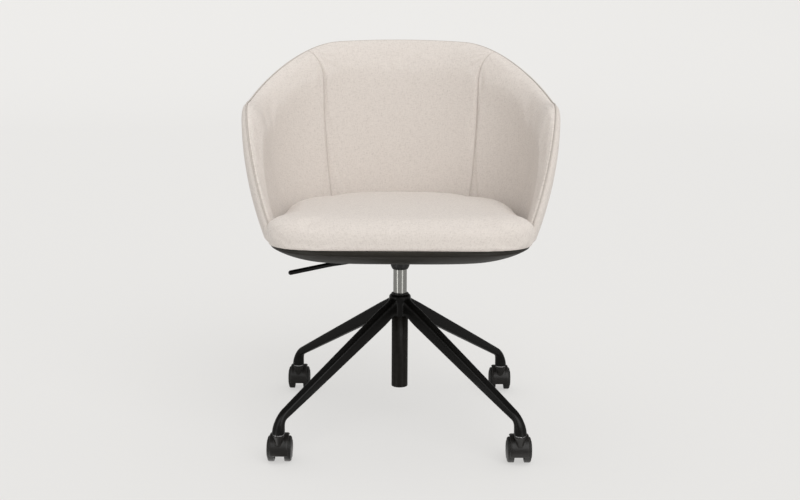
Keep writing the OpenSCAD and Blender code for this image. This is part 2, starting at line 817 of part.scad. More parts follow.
function top_z(angle) =
    let (rise = pow(ease((angle - shoulder_low)/(shoulder_high - shoulder_low)), shoulder_power))
    seat_z + mix(arm_h, back_h, mix(rise, pow(sin(max(angle, 0)), 2), crown_share));
function bezier(a, b, c, d, t) =
    a*pow(1 - t, 3) + 3*b*t*pow(1 - t, 2) + 3*c*t*t*(1 - t) + d*pow(t, 3);
function rim_along_top(angle) = [angle, top_z(angle)];
function rim_down_front(t) =
    let (start_h = top_z(rim_corner) - seat_z,
         angles = [for (share = arm_angle_shares) mix(rim_corner, rim_foot, share)],
         heights = [for (share = arm_height_shares) share*start_h])
    [bezier(rim_corner, angles[0], angles[1], rim_foot, t),
        seat_z + bezier(start_h, heights[0], heights[1], rim_foot_h, t)];
function rim_at(i) =
    let (part = (i - back_rings)/arm_rings)
    i <= back_rings ? rim_along_top(mix(90, seam_angle, i/back_rings))
    : part <= corner_share ? rim_along_top(mix(seam_angle, rim_corner, part/corner_share))
    : rim_down_front((part - corner_share)/(1 - corner_share));

// A column of the shell runs from the rim to the foot: [rim, bend, foot], each an angle and a
// height, and its length. On the arm it leaves the rim squarely.
foot_angle = -15;
bend_share = 0.4;
bend_rings = 9;
mm_per_degree = PI/180*tub_w/2;
function foot_at(i) = [i <= back_rings ? mix(90, seam_angle, i/back_rings)
    : mix(seam_angle, foot_angle, (i - back_rings)/arm_rings), seat_z + seat_gap];
function square_to_rim(i) =
    let (before = rim_at(i - 0.5),
         after = rim_at(min(i + 0.5, last_column)),
         along = [(after[0] - before[0])*mm_per_degree, after[1] - before[1]])
    [-along[1]/mm_per_degree, along[0]]/norm(along);
function column_at(i) =
    let (rim = rim_at(i),
         foot = foot_at(i),
         span = norm([(foot[0] - rim[0])*mm_per_degree, foot[1] - rim[1]]),
         straight = (rim + foot)/2,
         square = rim + square_to_rim(max(i, 1))*span*bend_share)
    [rim, mix(straight, square, ease((i - back_rings)/bend_rings)), foot, span];
columns = [for (i = [0:last_column]) column_at(i)];
function column(i) = abs(i) == floor(abs(i)) ? columns[abs(i)] : column_at(abs(i));
function column_span(i) = column(i)[3];

// A point of the wall: set back from the rim along its column, at a depth under the outer face
function wall_point(i, set_back, depth) =
    let (c = column(i),
         t = clamp(set_back/c[3], 0, 1),
         spot = c[0]*pow(1 - t, 2) + c[1]*2*t*(1 - t) + c[2]*t*t,
         p = tub_face(spot[0], max(spot[1], seat_z + seat_gap), depth))
    [i < 0 ? -p[0] : p[0], p[1], p[2]];

// The padded wall grows from its crest to its full depth, and thins towards the arm's front
crest_depth = 15;
roll_reach = 80;
front_share = 0.55;
side_angle = 50;
back_angle = 90;
function full_depth(i) =
    let (angle = column(i)[2][0],
         front = ease(((abs(i) - back_rings)/arm_rings - front_share)/(1 - front_share)))
    mix(mix(wall_side, wall_back, ease((angle - side_angle)/(back_angle - side_angle))),
        rim_roll, front);
function wall_depth(i, set_back) =
    let (rest = 1 - clamp(set_back/roll_reach, 0, 1))
    mix(crest_depth, full_depth(i), sqrt(1 - rest*rest));

// How far the rolled edge outside its crest lies below it, at a depth under the outer face
roll_drop = 17;
function roll_back(depth) =
    let (q = clamp(depth/crest_depth - 1, -1, 0))
    roll_drop*(1 - sqrt(1 - q*q));

// The seam between the back pad and an arm pad runs towards the middle from the rim downwards
seam_columns = 0.95;
seam_reach = 70;
function past_rim(i, set_back) =
    let (rest = 1 - clamp(set_back/seam_reach, 0, 1),
         shift = seam_columns*(1 - rest*rest))
    abs(i) <= back_rings ? i*(1 - shift/back_rings)
    : sign(i)*(abs(i) - shift*(last_column - abs(i))/arm_rings);

// Sections of the wall's layers, up the inner side and down the outer side
wall_steps = 6;
roll_steps = 5;
edge_steps = 3;
core_steps = 10;
foot_h = 6;
foot_w = 26;
core_edge = 20;
wall_gap = 0.6;
core_depth = cover_h + wall_gap;
pad_depth = core_depth + core_h + wall_gap;

function pad_section(i) =
    let (low = column_span(i) - foot_h - seat_gap,
         inner_low = column_span(past_rim(i, roll_reach)) - foot_h - seat_gap,
         set_backs = concat(
             [for (j = [0:wall_steps - 1]) mix(inner_low, roll_reach, j/wall_steps)],
             [for (j = [0:roll_steps]) roll_reach*(1 - sin(90*j/roll_steps))]),
         inner = [for (e = set_backs)
             let (k = past_rim(i, e))
             wall_point(k, e, wall_depth(k, e))],
         over_core = [wall_point(i, roll_back(core_depth), core_depth),
             wall_point(i, core_edge/2, core_depth),
             wall_point(i, core_edge - seat_gap, core_depth),
             wall_point(i, core_edge - seat_gap, pad_depth)],
         behind = [for (j = [1:core_steps])
             wall_point(i, mix(core_edge, low, j/core_steps), pad_depth)])
    concat(inner, over_core, behind);

function core_section(i) =
    let (low = column_span(i),
         inside = [for (j = [0:core_steps])
             wall_point(i, mix(low - foot_h, core_edge, j/core_steps), core_depth + core_h)],
         outside = [for (j = [0:core_steps])
             wall_point(i, mix(core_edge, low, j/core_steps), core_depth)])
    concat([wall_point(i, low - foot_h, core_depth + foot_w)], inside, outside,
        [wall_point(i, low, core_depth + foot_w)]);

function cover_section(i) =
    let (bevel = cover_h/2,
         low = column_span(i),
         edge = [for (j = [0:edge_steps - 1])
             let (d = mix(cover_h, 0, j/edge_steps))
             wall_point(i, roll_back(d), d)],
         inside = [for (j = [0:core_steps])
             wall_point(i, mix(low, core_edge, j/core_steps), cover_h)],
         under_edge = [wall_point(i, core_edge/2, cover_h),
             wall_point(i, roll_back(cover_h) + over, cover_h)],
         last = len(inside) + len(under_edge) - edge_steps - 2,
         outside = [for (j = [0:last])
             wall_point(i, mix(roll_drop, low - bevel, j/last), 0)])
    concat(inside, under_edge, edge, outside, [wall_point(i, low, bevel)]);

module back_pad() {
    color([0.83, 0.79, 0.76])
        beside_cushion() strip([for (i = [-back_rings:back_rings]) pad_section(i)]);
}

// Each arm pad starts a hair past the seam
seam_share = 0.05;
module arm_pad(side) {
    past_seam = mix(pad_section(back_rings), pad_section(back_rings + 1), seam_share);
    color([0.82, 0.78, 0.75])
        beside_cushion()
            mirror([side < 0 ? 1 : 0, 0, 0])
                strip(concat([past_seam],
                    [for (i = [back_rings + 1:last_column]) pad_section(i)]));
}

module left_arm_pad() {
    arm_pad(-1);
}

module right_arm_pad() {
    arm_pad(1);
}

module shell_core() {
    color([0.25, 0.24, 0.23])
        difference() {
            beside_cushion() strip([for (i = [-last_column:last_column]) core_section(i)]);
            at_shell_screws() translate([0, 0, seat_z - over])
                cylinder(d = screw_d + 2*run_gap, h = foot_h + over);
        }
}

module outer_cover() {
    color([0.8, 0.76, 0.72])
        beside_cushion()
            strip([for (i = [-last_column:last_column]) cover_section(i)], crossed = true);
}

// Piping that closes the seam between the pads and the outer cover
piping_sides = 6;
piping_tuck_share = 0.75;
module rim_piping() {
    sit = piping_d/2 + seat_gap;
    spots = [for (i = [-last_column:last_column])
        let (seam = wall_point(i, roll_back(cover_h), cover_h),
             in_wall = wall_point(i, 2*roll_drop, piping_tuck_share*rim_roll),
             out = (seam - in_wall)/norm(seam - in_wall))
        seam + out*sit];
    color([0.5, 0.48, 0.46])
        beside_cushion()
            loft([for (k = [0:len(spots) - 1])
                let (a = spots[max(k - 1, 0)],
                     b = spots[min(k + 1, len(spots) - 1)],
                     along = (b - a)/norm(b - a),
                     side = cross(along, [0, 0, 1])/norm(cross(along, [0, 0, 1])),
                     up = cross(side, along))
                [for (j = [piping_sides - 1:-1:0])
                    let (turn = j*360/piping_sides)
                    spots[k] + (side*cos(turn) + up*sin(turn))*piping_d/2]]);
}

// Screws through the board's edge into the shell's turned-in foot
shell_screw_columns = [4, 12, 20, 27];
screw_share = 0.75;
module at_shell_screws() {
    for (column = shell_screw_columns)
        for (side = [-1, 1])
            let (spot = wall_point(side*column, column_span(column),
                core_depth + foot_w*screw_share))
            translate([spot[0], spot[1], 0]) children();
}

module shell_screws() {
    color([0.6, 0.6, 0.6])
        at_shell_screws() {
            translate([0, 0, board_edge_z]) cylinder(d = 2*screw_d, h = screw_head_h);
            translate([0, 0, board_edge_z + screw_head_h])
                cylinder(d = screw_d, h = seat_z - board_edge_z - screw_head_h + foot_h/2);
        }
}

// Casters
module at_corner(sign_x, sign_y) {
    translate([sign_x*stem_xy, sign_y*stem_xy, 0]) children();
}

// Values that the parts of a caster share
caster_side_gap = 1.5;
caster_web_w = wheel_gap - 2*caster_side_gap;
stem_lower_h = 20;
axle_cover = 3;

module caster_stem(sign_x, sign_y) {
    ring_h = 3;
    color([0.65, 0.65, 0.66])
        at_corner(sign_x, sign_y) {
            translate([0, 0, stem_seat_z - stem_lower_h])
                cylinder(d = stem_lower_d, h = stem_lower_h + seat_gap + over);
            translate([0, 0, stem_seat_z + seat_gap])
                cylinder(d = stem_collar_d, h = stem_collar_h);
            translate([0, 0, leg_end_z]) cylinder(d = stem_upper_d, h = stem_upper_h - ring_h);
            translate([0, 0, leg_end_z + stem_upper_h - ring_h])
                cylinder(d1 = stem_upper_d, d2 = stem_upper_d - ring_h, h = ring_h);
        }
}

module along_x(length) {
    rotate([90, 0, 90]) translate([0, 0, -length/2]) linear_extrude(length) children();
}

// The part of the hood's round that is closed, from its low front edge over the top
hood_front_angle = -12;
hood_back_angle = 122;
hood_steps = 16;
module hood_sector() {
    reach = 2*hood_r;
    polygon(concat([[0, 0]],
        [for (i = [0:hood_steps])
            let (a = mix(hood_front_angle, hood_back_angle, i/hood_steps))
            [-reach*cos(a), reach*sin(a)]]));
}

// Hood: a round cover over both wheels, with a middle web that holds the axle and the stem
module caster_hood(sign_x, sign_y) {
    boss_r = 11;
    neck_step = 0.75;
    bore_l = wheel_gap + 2*over;
    color([0.09, 0.09, 0.09])
        at_corner(sign_x, sign_y)
            difference() {
                union() {
                    translate([0, caster_trail, axle_z]) {
                        along_x(hood_w) intersection() {
                            difference() {
                                circle(r = hood_r);
                                circle(r = hood_r - hood_wall);
                            }
                            hood_sector();
                        }
                        along_x(caster_web_w) {
                            intersection() {
                                circle(r = hood_r - hood_wall/2);
                                hood_sector();
                            }
                            circle(r = boss_r);
                        }
                    }
                    translate([0, 0, axle_z + boss_r])
                        cylinder(r1 = leg_end_d/6, r2 = leg_end_d/2 - neck_step,
                            h = stem_seat_z - axle_z - boss_r);
                    translate([0, 0, stem_seat_z - stem_lower_h - hood_wall/2])
                        cylinder(d = caster_web_w, h = stem_lower_h);
                }
                translate([0, 0, stem_seat_z - stem_lower_h - run_gap])
                    cylinder(d = stem_lower_d + 2*run_gap, h = stem_lower_h + over);
                translate([-bore_l/2, caster_trail, axle_z])
                    rotate([0, 90, 0]) cylinder(d = axle_d + run_gap, h = bore_l);
            }
}

module caster_axle(sign_x, sign_y) {
    length = wheel_gap + 2*wheel_w - 2*axle_cover;
    color([0.6, 0.6, 0.62])
        at_corner(sign_x, sign_y)
            translate([-length/2, caster_trail, axle_z])
                rotate([0, 90, 0]) cylinder(d = axle_d, h = length);
}

// Wheel side by side: the profile runs from the inner face out to a domed outer face
module caster_wheel(sign_x, sign_y, side) {
    dome = 3;
    tread_round = 3;
    dish = 4;
    wheel_r = wheel_d/2;
    hub_r = 9;
    rim_r = wheel_r - dish;
    bore_l = wheel_w - axle_cover + seat_gap;
    color([0.13, 0.13, 0.12])
        at_corner(sign_x, sign_y)
            translate([side*wheel_gap/2, caster_trail, axle_z])
                rotate([0, side*90, 0])
                    difference() {
                        rotate_extrude()
                            polygon([[0, 0], [hub_r, 0], [hub_r, dish],
                                [rim_r, dish], [rim_r, 0],
                                [wheel_r - tread_round/3, 0], [wheel_r, tread_round/3],
                                [wheel_r, wheel_w - dome - tread_round],
                                [wheel_r - tread_round/2, wheel_w - dome - tread_round/4],
                                [wheel_r - tread_round*1.5, wheel_w - dome*0.6],
                                [wheel_r*2/3, wheel_w - dome*0.2], [wheel_r/3, wheel_w],
                                [0, wheel_w]]);
                        translate([0, 0, -over])
                            cylinder(d = axle_d + 2*run_gap, h = bore_l + over);
                    }
}

base_casting();
standing_tube();
guide_bush();
thrust_washer_lower();
thrust_balls();
thrust_washer_upper();
piston_rod();
rod_washer();
rod_clip();
rubber_bumper();
pressure_tube();
valve_pin();
collar_sleeve();
mechanism_housing();
lever();
lever_pin();
seat_board();
mechanism_bolts();
tee_nuts();
seat_pan();
pan_screws();
seat_cushion();
shell_core();
shell_screws();
back_pad();
left_arm_pad();
right_arm_pad();
outer_cover();
rim_piping();
caster_stem(-1, -1);  // front_left_stem
caster_hood(-1, -1);  // front_left_hood
caster_axle(-1, -1);  // front_left_axle
caster_wheel(-1, -1, -1);  // front_left_wheel_a
caster_wheel(-1, -1, 1);  // front_left_wheel_b
caster_stem(1, -1);  // front_right_stem
caster_hood(1, -1);  // front_right_hood
caster_axle(1, -1);  // front_right_axle
caster_wheel(1, -1, -1);  // front_right_wheel_a
caster_wheel(1, -1, 1);  // front_right_wheel_b
caster_stem(-1, 1);  // back_left_stem
caster_hood(-1, 1);  // back_left_hood
caster_axle(-1, 1);  // back_left_axle
caster_wheel(-1, 1, -1);  // back_left_wheel_a
caster_wheel(-1, 1, 1);  // back_left_wheel_b
caster_stem(1, 1);  // back_right_stem
caster_hood(1, 1);  // back_right_hood
caster_axle(1, 1);  // back_right_axle
caster_wheel(1, 1, -1);  // back_right_wheel_a
caster_wheel(1, 1, 1);  // back_right_wheel_b
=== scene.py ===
"""Upholstered tub office chair on a four-leg swivel base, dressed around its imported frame.

Metres, +Z up, the chair faces -Y, and the origin is the floor point under the swivel axis.
"""
import functools
import math

import bmesh
import bpy
from mathutils import Matrix, Vector


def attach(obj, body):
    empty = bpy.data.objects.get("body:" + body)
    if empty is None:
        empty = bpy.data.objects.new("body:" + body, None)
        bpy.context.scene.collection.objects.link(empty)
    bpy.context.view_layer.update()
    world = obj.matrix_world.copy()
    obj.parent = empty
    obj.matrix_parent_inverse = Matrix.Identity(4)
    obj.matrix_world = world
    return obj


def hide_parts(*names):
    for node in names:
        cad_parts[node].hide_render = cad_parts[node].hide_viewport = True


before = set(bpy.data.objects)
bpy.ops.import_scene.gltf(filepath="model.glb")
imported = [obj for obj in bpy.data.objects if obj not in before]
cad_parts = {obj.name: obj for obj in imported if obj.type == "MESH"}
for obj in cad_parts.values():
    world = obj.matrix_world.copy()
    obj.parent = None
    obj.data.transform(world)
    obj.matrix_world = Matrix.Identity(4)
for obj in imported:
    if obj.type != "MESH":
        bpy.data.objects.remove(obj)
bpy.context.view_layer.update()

# Camera: a 54 mm lens, 2.42 m in front of the swivel axis and a little above the top of the back,
# looking down by 11 degrees, as the photograph was taken.
photo_w_px = 800
focal_px = 1196.5
camera_back = 2.4193
camera_aside = -0.003
camera_z = 0.8581
camera_down = math.radians(11.23)
camera_roll = math.radians(-0.3)
lens = bpy.data.cameras.new("camera")
lens.lens = focal_px * lens.sensor_width / photo_w_px
camera = bpy.data.objects.new("camera", lens)
camera.location = (camera_aside, -camera_back, camera_z)
camera.rotation_euler = (math.pi / 2 - camera_down, camera_roll, 0)
bpy.context.scene.collection.objects.link(camera)
bpy.context.scene.camera = camera
bpy.context.scene.view_settings.view_transform = "Standard"

# Studio: a pale floor that sweeps up all round, far enough out to stay an even ground behind the
# chair from every side, under an even pale room with dark walls for the gloss to pick up.
floor_r, sweep_r, floor_rings = 7, 3, 10
floor_glow, room_glow = 0.52, 0.76
floor_gloss, room_gloss = 0.08, 0.12
gloss_strips = ((-0.83, 0.13, 1.7), (0.72, 0.2, 1.05))
left_box, right_box = ((-0.75, -0.6, 0.75), 1.6), ((0.85, -0.5, 0.7), 1.2)


def shaded(piece):
    """Shades every face smoothly."""
    piece.data.polygons.foreach_set("use_smooth", [True] * len(piece.data.polygons))
    return piece


def linked(name, bm):
    """A smooth-shaded object made from a bmesh."""
    mesh = bpy.data.meshes.new(name)
    bm.to_mesh(mesh)
    bm.free()
    piece = bpy.data.objects.new(name, mesh)
    bpy.context.scene.collection.objects.link(piece)
    return shaded(piece)


def spun(bm, profile, steps, centre=(0, 0, 0), axis=(0, 0, 1), away=(1, 0, 0), angle=math.tau):
    """Spins a profile of (radius, height) points about an axis through centre, starting at away."""
    centre, axis, away = Vector(centre), Vector(axis), Vector(away)
    verts = [bm.verts.new(centre + away * r + axis * h) for r, h in profile]
    edges = [bm.edges.new(pair) for pair in zip(verts, verts[1:])]
    if profile[0] == profile[-1]:
        bmesh.ops.remove_doubles(bm, verts=[verts[0], verts[-1]], dist=1e-7)
        verts = [vert for vert in verts if vert.is_valid]
        edges = [edge for edge in edges if edge.is_valid]
    bmesh.ops.spin(bm, geom=verts + edges, cent=centre, axis=axis, angle=angle, steps=steps,
                   use_merge=angle == math.tau)


def joined(bm, gap=1e-6):
    """Joins a shape's meeting edges and turns its faces outwards."""
    bmesh.ops.remove_doubles(bm, verts=bm.verts, dist=gap)
    bmesh.ops.recalc_face_normals(bm, faces=bm.faces)


def turned(name, profile, steps=96, **place):
    """One turned piece."""
    bm = bmesh.new()
    spun(bm, profile, steps, **place)
    joined(bm)
    return linked(name, bm)


sweep = [(floor_r + sweep_r * math.sin(a), sweep_r * (1 - math.cos(a)))
         for a in (math.pi / 2 * i / floor_rings for i in range(floor_rings + 1))]
floor = turned("floor", [(0, 0), (floor_r / 2, 0)] + sweep)


def finish_of(name, colour, rough=0.5, metal=0.0, specular=0.5):
    """A new material: its shader's own colour, roughness and metal, and the tools to wire it."""
    material = bpy.data.materials.new(name)
    material.use_nodes = True
    tree = material.node_tree
    shader = tree.nodes["Principled BSDF"]
    shader.inputs["Base Color"].default_value = (*colour, 1)
    shader.inputs["Roughness"].default_value = rough
    shader.inputs["Metallic"].default_value = metal
    shader.inputs["Specular IOR Level"].default_value = specular
    material.diffuse_color = (*colour, 1)
    return material, tree, shader


def figured(tree, operation, *values):
    """The result of one math node on numbers and sockets."""
    node = tree.nodes.new("ShaderNodeMath")
    node.operation = operation
    for slot, value in zip(node.inputs, values):
        if isinstance(value, (int, float)):
            slot.default_value = value
        else:
            tree.links.new(value, slot)
    return node.outputs[0]


def product(tree, *values):
    return functools.reduce(lambda a, b: figured(tree, "MULTIPLY", a, b), values)


def total(tree, *values):
    return functools.reduce(lambda a, b: figured(tree, "ADD", a, b), values)


def ramped(tree, value, low, high, to_low=0.0, to_high=1.0):
    """A value stretched from one range to another, kept inside it."""
    node = tree.nodes.new("ShaderNodeMapRange")
    node.interpolation_type = "SMOOTHSTEP"
    tree.links.new(value, node.inputs["Value"])
    for slot, number in zip(list(node.inputs)[1:5], (low, high, to_low, to_high)):
        slot.default_value = number
    return node.outputs[0]


def lit_patch(tree, direction, toward, strength):
    """The glow of a soft box that hangs in one direction."""
    node = tree.nodes.new("ShaderNodeVectorMath")
    node.operation = "DOT_PRODUCT"
    tree.links.new(direction, node.inputs[0])
    node.inputs[1].default_value = Vector(toward).normalized()
    return ramped(tree, node.outputs["Value"], 0.9, 0.97, 0.0, strength)


def by_ray(tree, glossy, other):
    """One level for glossy rays and another for all other rays."""
    gloss = tree.nodes.new("ShaderNodeLightPath").outputs["Is Glossy Ray"]
    return total(tree, product(tree, gloss, glossy),
                 product(tree, figured(tree, "SUBTRACT", 1.0, gloss), other))


# For gloss the room is darker than it is for light: a dim floor crossed by the two strips that a
# standing tube shows, and two soft boxes high on either side.
floor_paint, tree, shader = finish_of("floor_paint", (0.28, 0.277, 0.272), rough=1, specular=0)
where = tree.nodes.new("ShaderNodeTexCoord")
flat = tree.nodes.new("ShaderNodeSeparateXYZ")
tree.links.new(where.outputs["Object"], flat.inputs[0])
around = figured(tree, "ARCTAN2", flat.outputs["X"], product(tree, flat.outputs["Y"], -1.0))
gloss_level = floor_gloss
for middle, half_w, peak in gloss_strips:
    off = figured(tree, "ABSOLUTE", figured(tree, "SUBTRACT", around, middle))
    gloss_level = total(tree, ramped(tree, off, half_w, half_w * 0.4, 0.0, peak), gloss_level)
shader.inputs["Emission Color"].default_value = (1, 0.99, 0.972, 1)
tree.links.new(by_ray(tree, gloss_level, floor_glow), shader.inputs["Emission Strength"])
floor.data.materials.append(floor_paint)

world = bpy.data.worlds.new("studio")
bpy.context.scene.world = world
world.use_nodes = True
tree = world.node_tree
where = tree.nodes.new("ShaderNodeTexCoord")
boxes = [lit_patch(tree, where.outputs["Generated"], *box) for box in (left_box, right_box)]
background = tree.nodes["Background"]
background.inputs["Color"].default_value = (1, 0.995, 0.985, 1)
tree.links.new(by_ray(tree, total(tree, *boxes, room_gloss), room_glow),
               background.inputs["Strength"])


def soft_sun(name, toward, strength, spread):
    """A wide soft lamp that shines from the direction toward."""
    lamp = bpy.data.lights.new(name, "SUN")
    lamp.energy = strength
    lamp.angle = math.radians(spread)
    holder = bpy.data.objects.new(name, lamp)
    holder.rotation_euler = Vector(toward).to_track_quat("Z", "Y").to_euler()
    bpy.context.scene.collection.objects.link(holder)


soft_sun("key_lamp", (0.35, -0.85, 0.85), 1.3, 50)

# Base casting: one die-cast aluminium hub with four legs that bend down at their ends, powder
# coated black. The legs are swept from a boxy root to a round end and grow out of the hub.
stem_xy = 0.2325
stem_r = stem_xy * math.sqrt(2)
leg_root_z, leg_slope = 0.2895, math.radians(30.15)
leg_root_h, leg_tip_h = 0.035, 0.018
leg_root_w, leg_tip_w = 0.024, 0.019
leg_end_r, leg_end_z = 0.01275, 0.062
elbow_r, elbow_inner_r = 0.058, 0.012
leg_start_r = 0.019
socket_r, socket_top_z = 0.0062, 0.0805
hub_r, hub_z, hub_top_z, hub_bevel, hub_bore_r = 0.0225, 0.24, 0.286, 0.004, 0.0173
casting_voxel = 0.0016
leg_across, leg_straight, leg_bend, leg_drop = 40, 30, 16, 6
leg_root_power, leg_end_power, leg_rounds_from, leg_rounds_over = 7, 2, 16.5, 23.1
hub_smoothing = ((0.052, 6), (0.046, 8), (0.04, 16))


def mix(low, high, part):
    return low + (high - low) * part


def held(part):
    """A share kept between 0 and 1."""
    return min(max(part, 0), 1)


def ease(part):
    part = held(part)
    return part * part * (3 - 2 * part)


def leg_top(r):
    return leg_root_z - r * math.tan(leg_slope)


def leg_under(r):
    return leg_top(r) - mix(leg_root_h, leg_tip_h, r / stem_r)


def leg_edges():
    """Pairs of a point on the leg's top line and one on its under line, each (reach, height)."""
    slope_under = math.atan((leg_under(0) - leg_under(stem_r)) / stem_r)
    top_r = stem_r + leg_end_r - elbow_r
    top_z = leg_top(top_r) - elbow_r / math.cos(leg_slope)
    under_r = stem_r - leg_end_r - elbow_inner_r
    under_z = leg_under(under_r) - elbow_inner_r / math.cos(slope_under)
    bend_top = (top_r + elbow_r * math.sin(leg_slope), top_z + elbow_r * math.cos(leg_slope))
    bend_under = (under_r + elbow_inner_r * math.sin(slope_under),
                  under_z + elbow_inner_r * math.cos(slope_under))
    root = (leg_start_r, leg_top(leg_start_r)), (leg_start_r, leg_under(leg_start_r))
    pairs = [(Vector(root[0]).lerp(Vector(bend_top), i / leg_straight),
              Vector(root[1]).lerp(Vector(bend_under), i / leg_straight))
             for i in range(leg_straight)]
    for i in range(leg_bend + 1):
        over = mix(math.pi / 2 - leg_slope, 0, i / leg_bend)
        under = mix(math.pi / 2 - slope_under, 0, i / leg_bend)
        pairs.append((Vector((top_r + elbow_r * math.cos(over), top_z + elbow_r * math.sin(over))),
                      Vector((under_r + elbow_inner_r * math.cos(under),
                              under_z + elbow_inner_r * math.sin(under)))))
    foot = Vector((stem_r + leg_end_r, leg_end_z)), Vector((stem_r - leg_end_r, leg_end_z))
    last = pairs[-1]
    return pairs + [(last[0].lerp(foot[0], i / leg_drop), last[1].lerp(foot[1], i / leg_drop))
                    for i in range(1, leg_drop + 1)]


def squared(angle, power):
    """A point of a unit ring that goes from round, power 2, to boxy."""
    c, s = math.cos(angle), math.sin(angle)
    return (math.copysign(abs(c) ** (2 / power), c), math.copysign(abs(s) ** (2 / power), s))


def draped(bm, across, along, place, lay=None):
    """A grid of quads with each point (u, v), from 0 to 1, moved to place(u, v).

    lay(u, v) gives the point's place in metres on the flat cloth."""
    made = bmesh.ops.create_grid(bm, x_segments=across, y_segments=along, size=1)
    spots = {vert: (vert.co.x / 2 + 0.5, vert.co.y / 2 + 0.5) for vert in made["verts"]}
    if lay:
        flat = bm.loops.layers.uv.new("cloth")
        laid = {vert: lay(*spot) for vert, spot in spots.items()}
        for face in {face for vert in spots for face in vert.link_faces}:
            for loop in face.loops:
                loop[flat].uv = laid[loop.vert]
    for vert, spot in spots.items():
        vert.co = place(*spot)


def closed(bm):
    """Joins a shape's meeting edges, closes its open ends and turns its faces outwards."""
    bmesh.ops.remove_doubles(bm, verts=bm.verts, dist=1e-6)
    made = bmesh.ops.holes_fill(bm, edges=[edge for edge in bm.edges if edge.is_boundary], sides=0)
    bmesh.ops.triangulate(bm, faces=made["faces"])
    bmesh.ops.recalc_face_normals(bm, faces=bm.faces)


def swept_leg(bm, turn):
    """One leg as rings of equal points from the hub to its end, then up inside the stem's socket."""
    rings = []
    for i, (top, under) in enumerate(leg_edges()):
        part = ease((i - leg_straight) / leg_bend)
        power = mix(leg_root_power, leg_end_power, ease((i - leg_rounds_from) / leg_rounds_over))
        half_w = mix(mix(leg_root_w, leg_tip_w, min(i / leg_straight, 1)) / 2, leg_end_r, part)
        rings.append((top, under, half_w, power))
    for z in (leg_end_z, socket_top_z):
        rings.append((Vector((stem_r + socket_r, z)), Vector((stem_r - socket_r, z)), socket_r,
                      leg_end_power))
    facing = Matrix.Rotation(turn, 3, "Z")

    def place(u, v):
        top, under, half_w, power = rings[round(v * (len(rings) - 1))]
        up, side = squared(u * math.tau, power)
        spot = (top + under) / 2 + (top - under) / 2 * up
        return facing @ Vector((spot[0], side * half_w, spot[1]))

    draped(bm, leg_across, len(rings) - 1, place)


def added(bm, profile, steps, **place):
    """Adds one closed turned shape."""
    ring = bmesh.new()
    spun(ring, profile, steps, **place)
    closed(ring)
    shape = bpy.data.meshes.new("ring")
    ring.to_mesh(shape)
    ring.free()
    bm.from_mesh(shape)
    bpy.data.meshes.remove(shape)


def applied(piece):
    """Makes what a piece's modifiers give its own mesh."""
    made = bpy.data.meshes.new_from_object(
        piece.evaluated_get(bpy.context.evaluated_depsgraph_get()))
    piece.modifiers.clear()
    piece.data = made
    made.name = piece.name


def remeshed(piece, voxel):
    """Turns a piece's overlapping closed shapes into one even skin."""
    skin = piece.modifiers.new("skin", "REMESH")
    skin.mode = "VOXEL"
    skin.voxel_size = voxel
    skin.use_smooth_shade = True
    applied(piece)


def smoothed(piece, times, where=None):
    """Evens out a skin, all over or only where a point answers to the test."""
    bm = bmesh.new()
    bm.from_mesh(piece.data)
    picked = [vert for vert in bm.verts if where is None or where(vert.co)]
    for _ in range(times):
        bmesh.ops.smooth_vert(bm, verts=picked, factor=0.5,
                              use_axis_x=True, use_axis_y=True, use_axis_z=True)
    bm.to_mesh(piece.data)
    bm.free()


bm = bmesh.new()
for quarter in range(4):
    swept_leg(bm, math.pi / 4 + quarter * math.pi / 2)
closed(bm)
added(bm, [(hub_bore_r, hub_z), (hub_r, hub_z), (hub_r, hub_top_z - hub_bevel),
           (hub_r - hub_bevel, hub_top_z), (hub_bore_r, hub_top_z), (hub_bore_r, hub_z)], 96)
casting = linked("casting", bm)
remeshed(casting, casting_voxel)
smoothed(casting, 3)
for reach, times in hub_smoothing:
    smoothed(casting, times,
             lambda co: math.hypot(co.x, co.y) < reach and co.z < hub_top_z - hub_bevel * 2)
for vert in casting.data.vertices:
    reach = math.hypot(vert.co.x, vert.co.y)
    if reach < hub_bore_r:
        vert.co.x *= hub_bore_r / reach
        vert.co.y *= hub_bore_r / reach
shaded(casting)


def group_of(name, takes, gives):
    """A new shader node group with its named sockets, its input node and its output node."""
    group = bpy.data.node_groups.new(name, "ShaderNodeTree")
    for label, kind, value in takes:
        socket = group.interface.new_socket(label, in_out="INPUT", socket_type=kind)
        if value is not None:
            socket.default_value = value
    for label in gives:
        group.interface.new_socket(label, in_out="OUTPUT", socket_type="NodeSocketFloat")
    return group, group.nodes.new("NodeGroupInput"), group.nodes.new("NodeGroupOutput")


def noise_of(tree, place, scale, detail=2.0, rough=0.5):
    """The value of a noise pattern."""
    node = tree.nodes.new("ShaderNodeTexNoise")
    tree.links.new(place, node.inputs["Vector"])
    for label, value in (("Scale", scale), ("Detail", detail), ("Roughness", rough)):
        if isinstance(value, (int, float)):
            node.inputs[label].default_value = value
        else:
            tree.links.new(value, node.inputs[label])
    return node.outputs[0]


def blended(tree, part, low, high):
    """A colour between two colours or colour sockets."""
    node = tree.nodes.new("ShaderNodeMix")
    node.data_type = "RGBA"
    slots = {slot.identifier: slot for slot in node.inputs}
    tree.links.new(part, slots["Factor_Float"])
    for label, colour in (("A_Color", low), ("B_Color", high)):
        if isinstance(colour, tuple):
            slots[label].default_value = (*colour, 1)
        else:
            tree.links.new(colour, slots[label])
    return next(slot for slot in node.outputs if slot.identifier == "Result_Color")


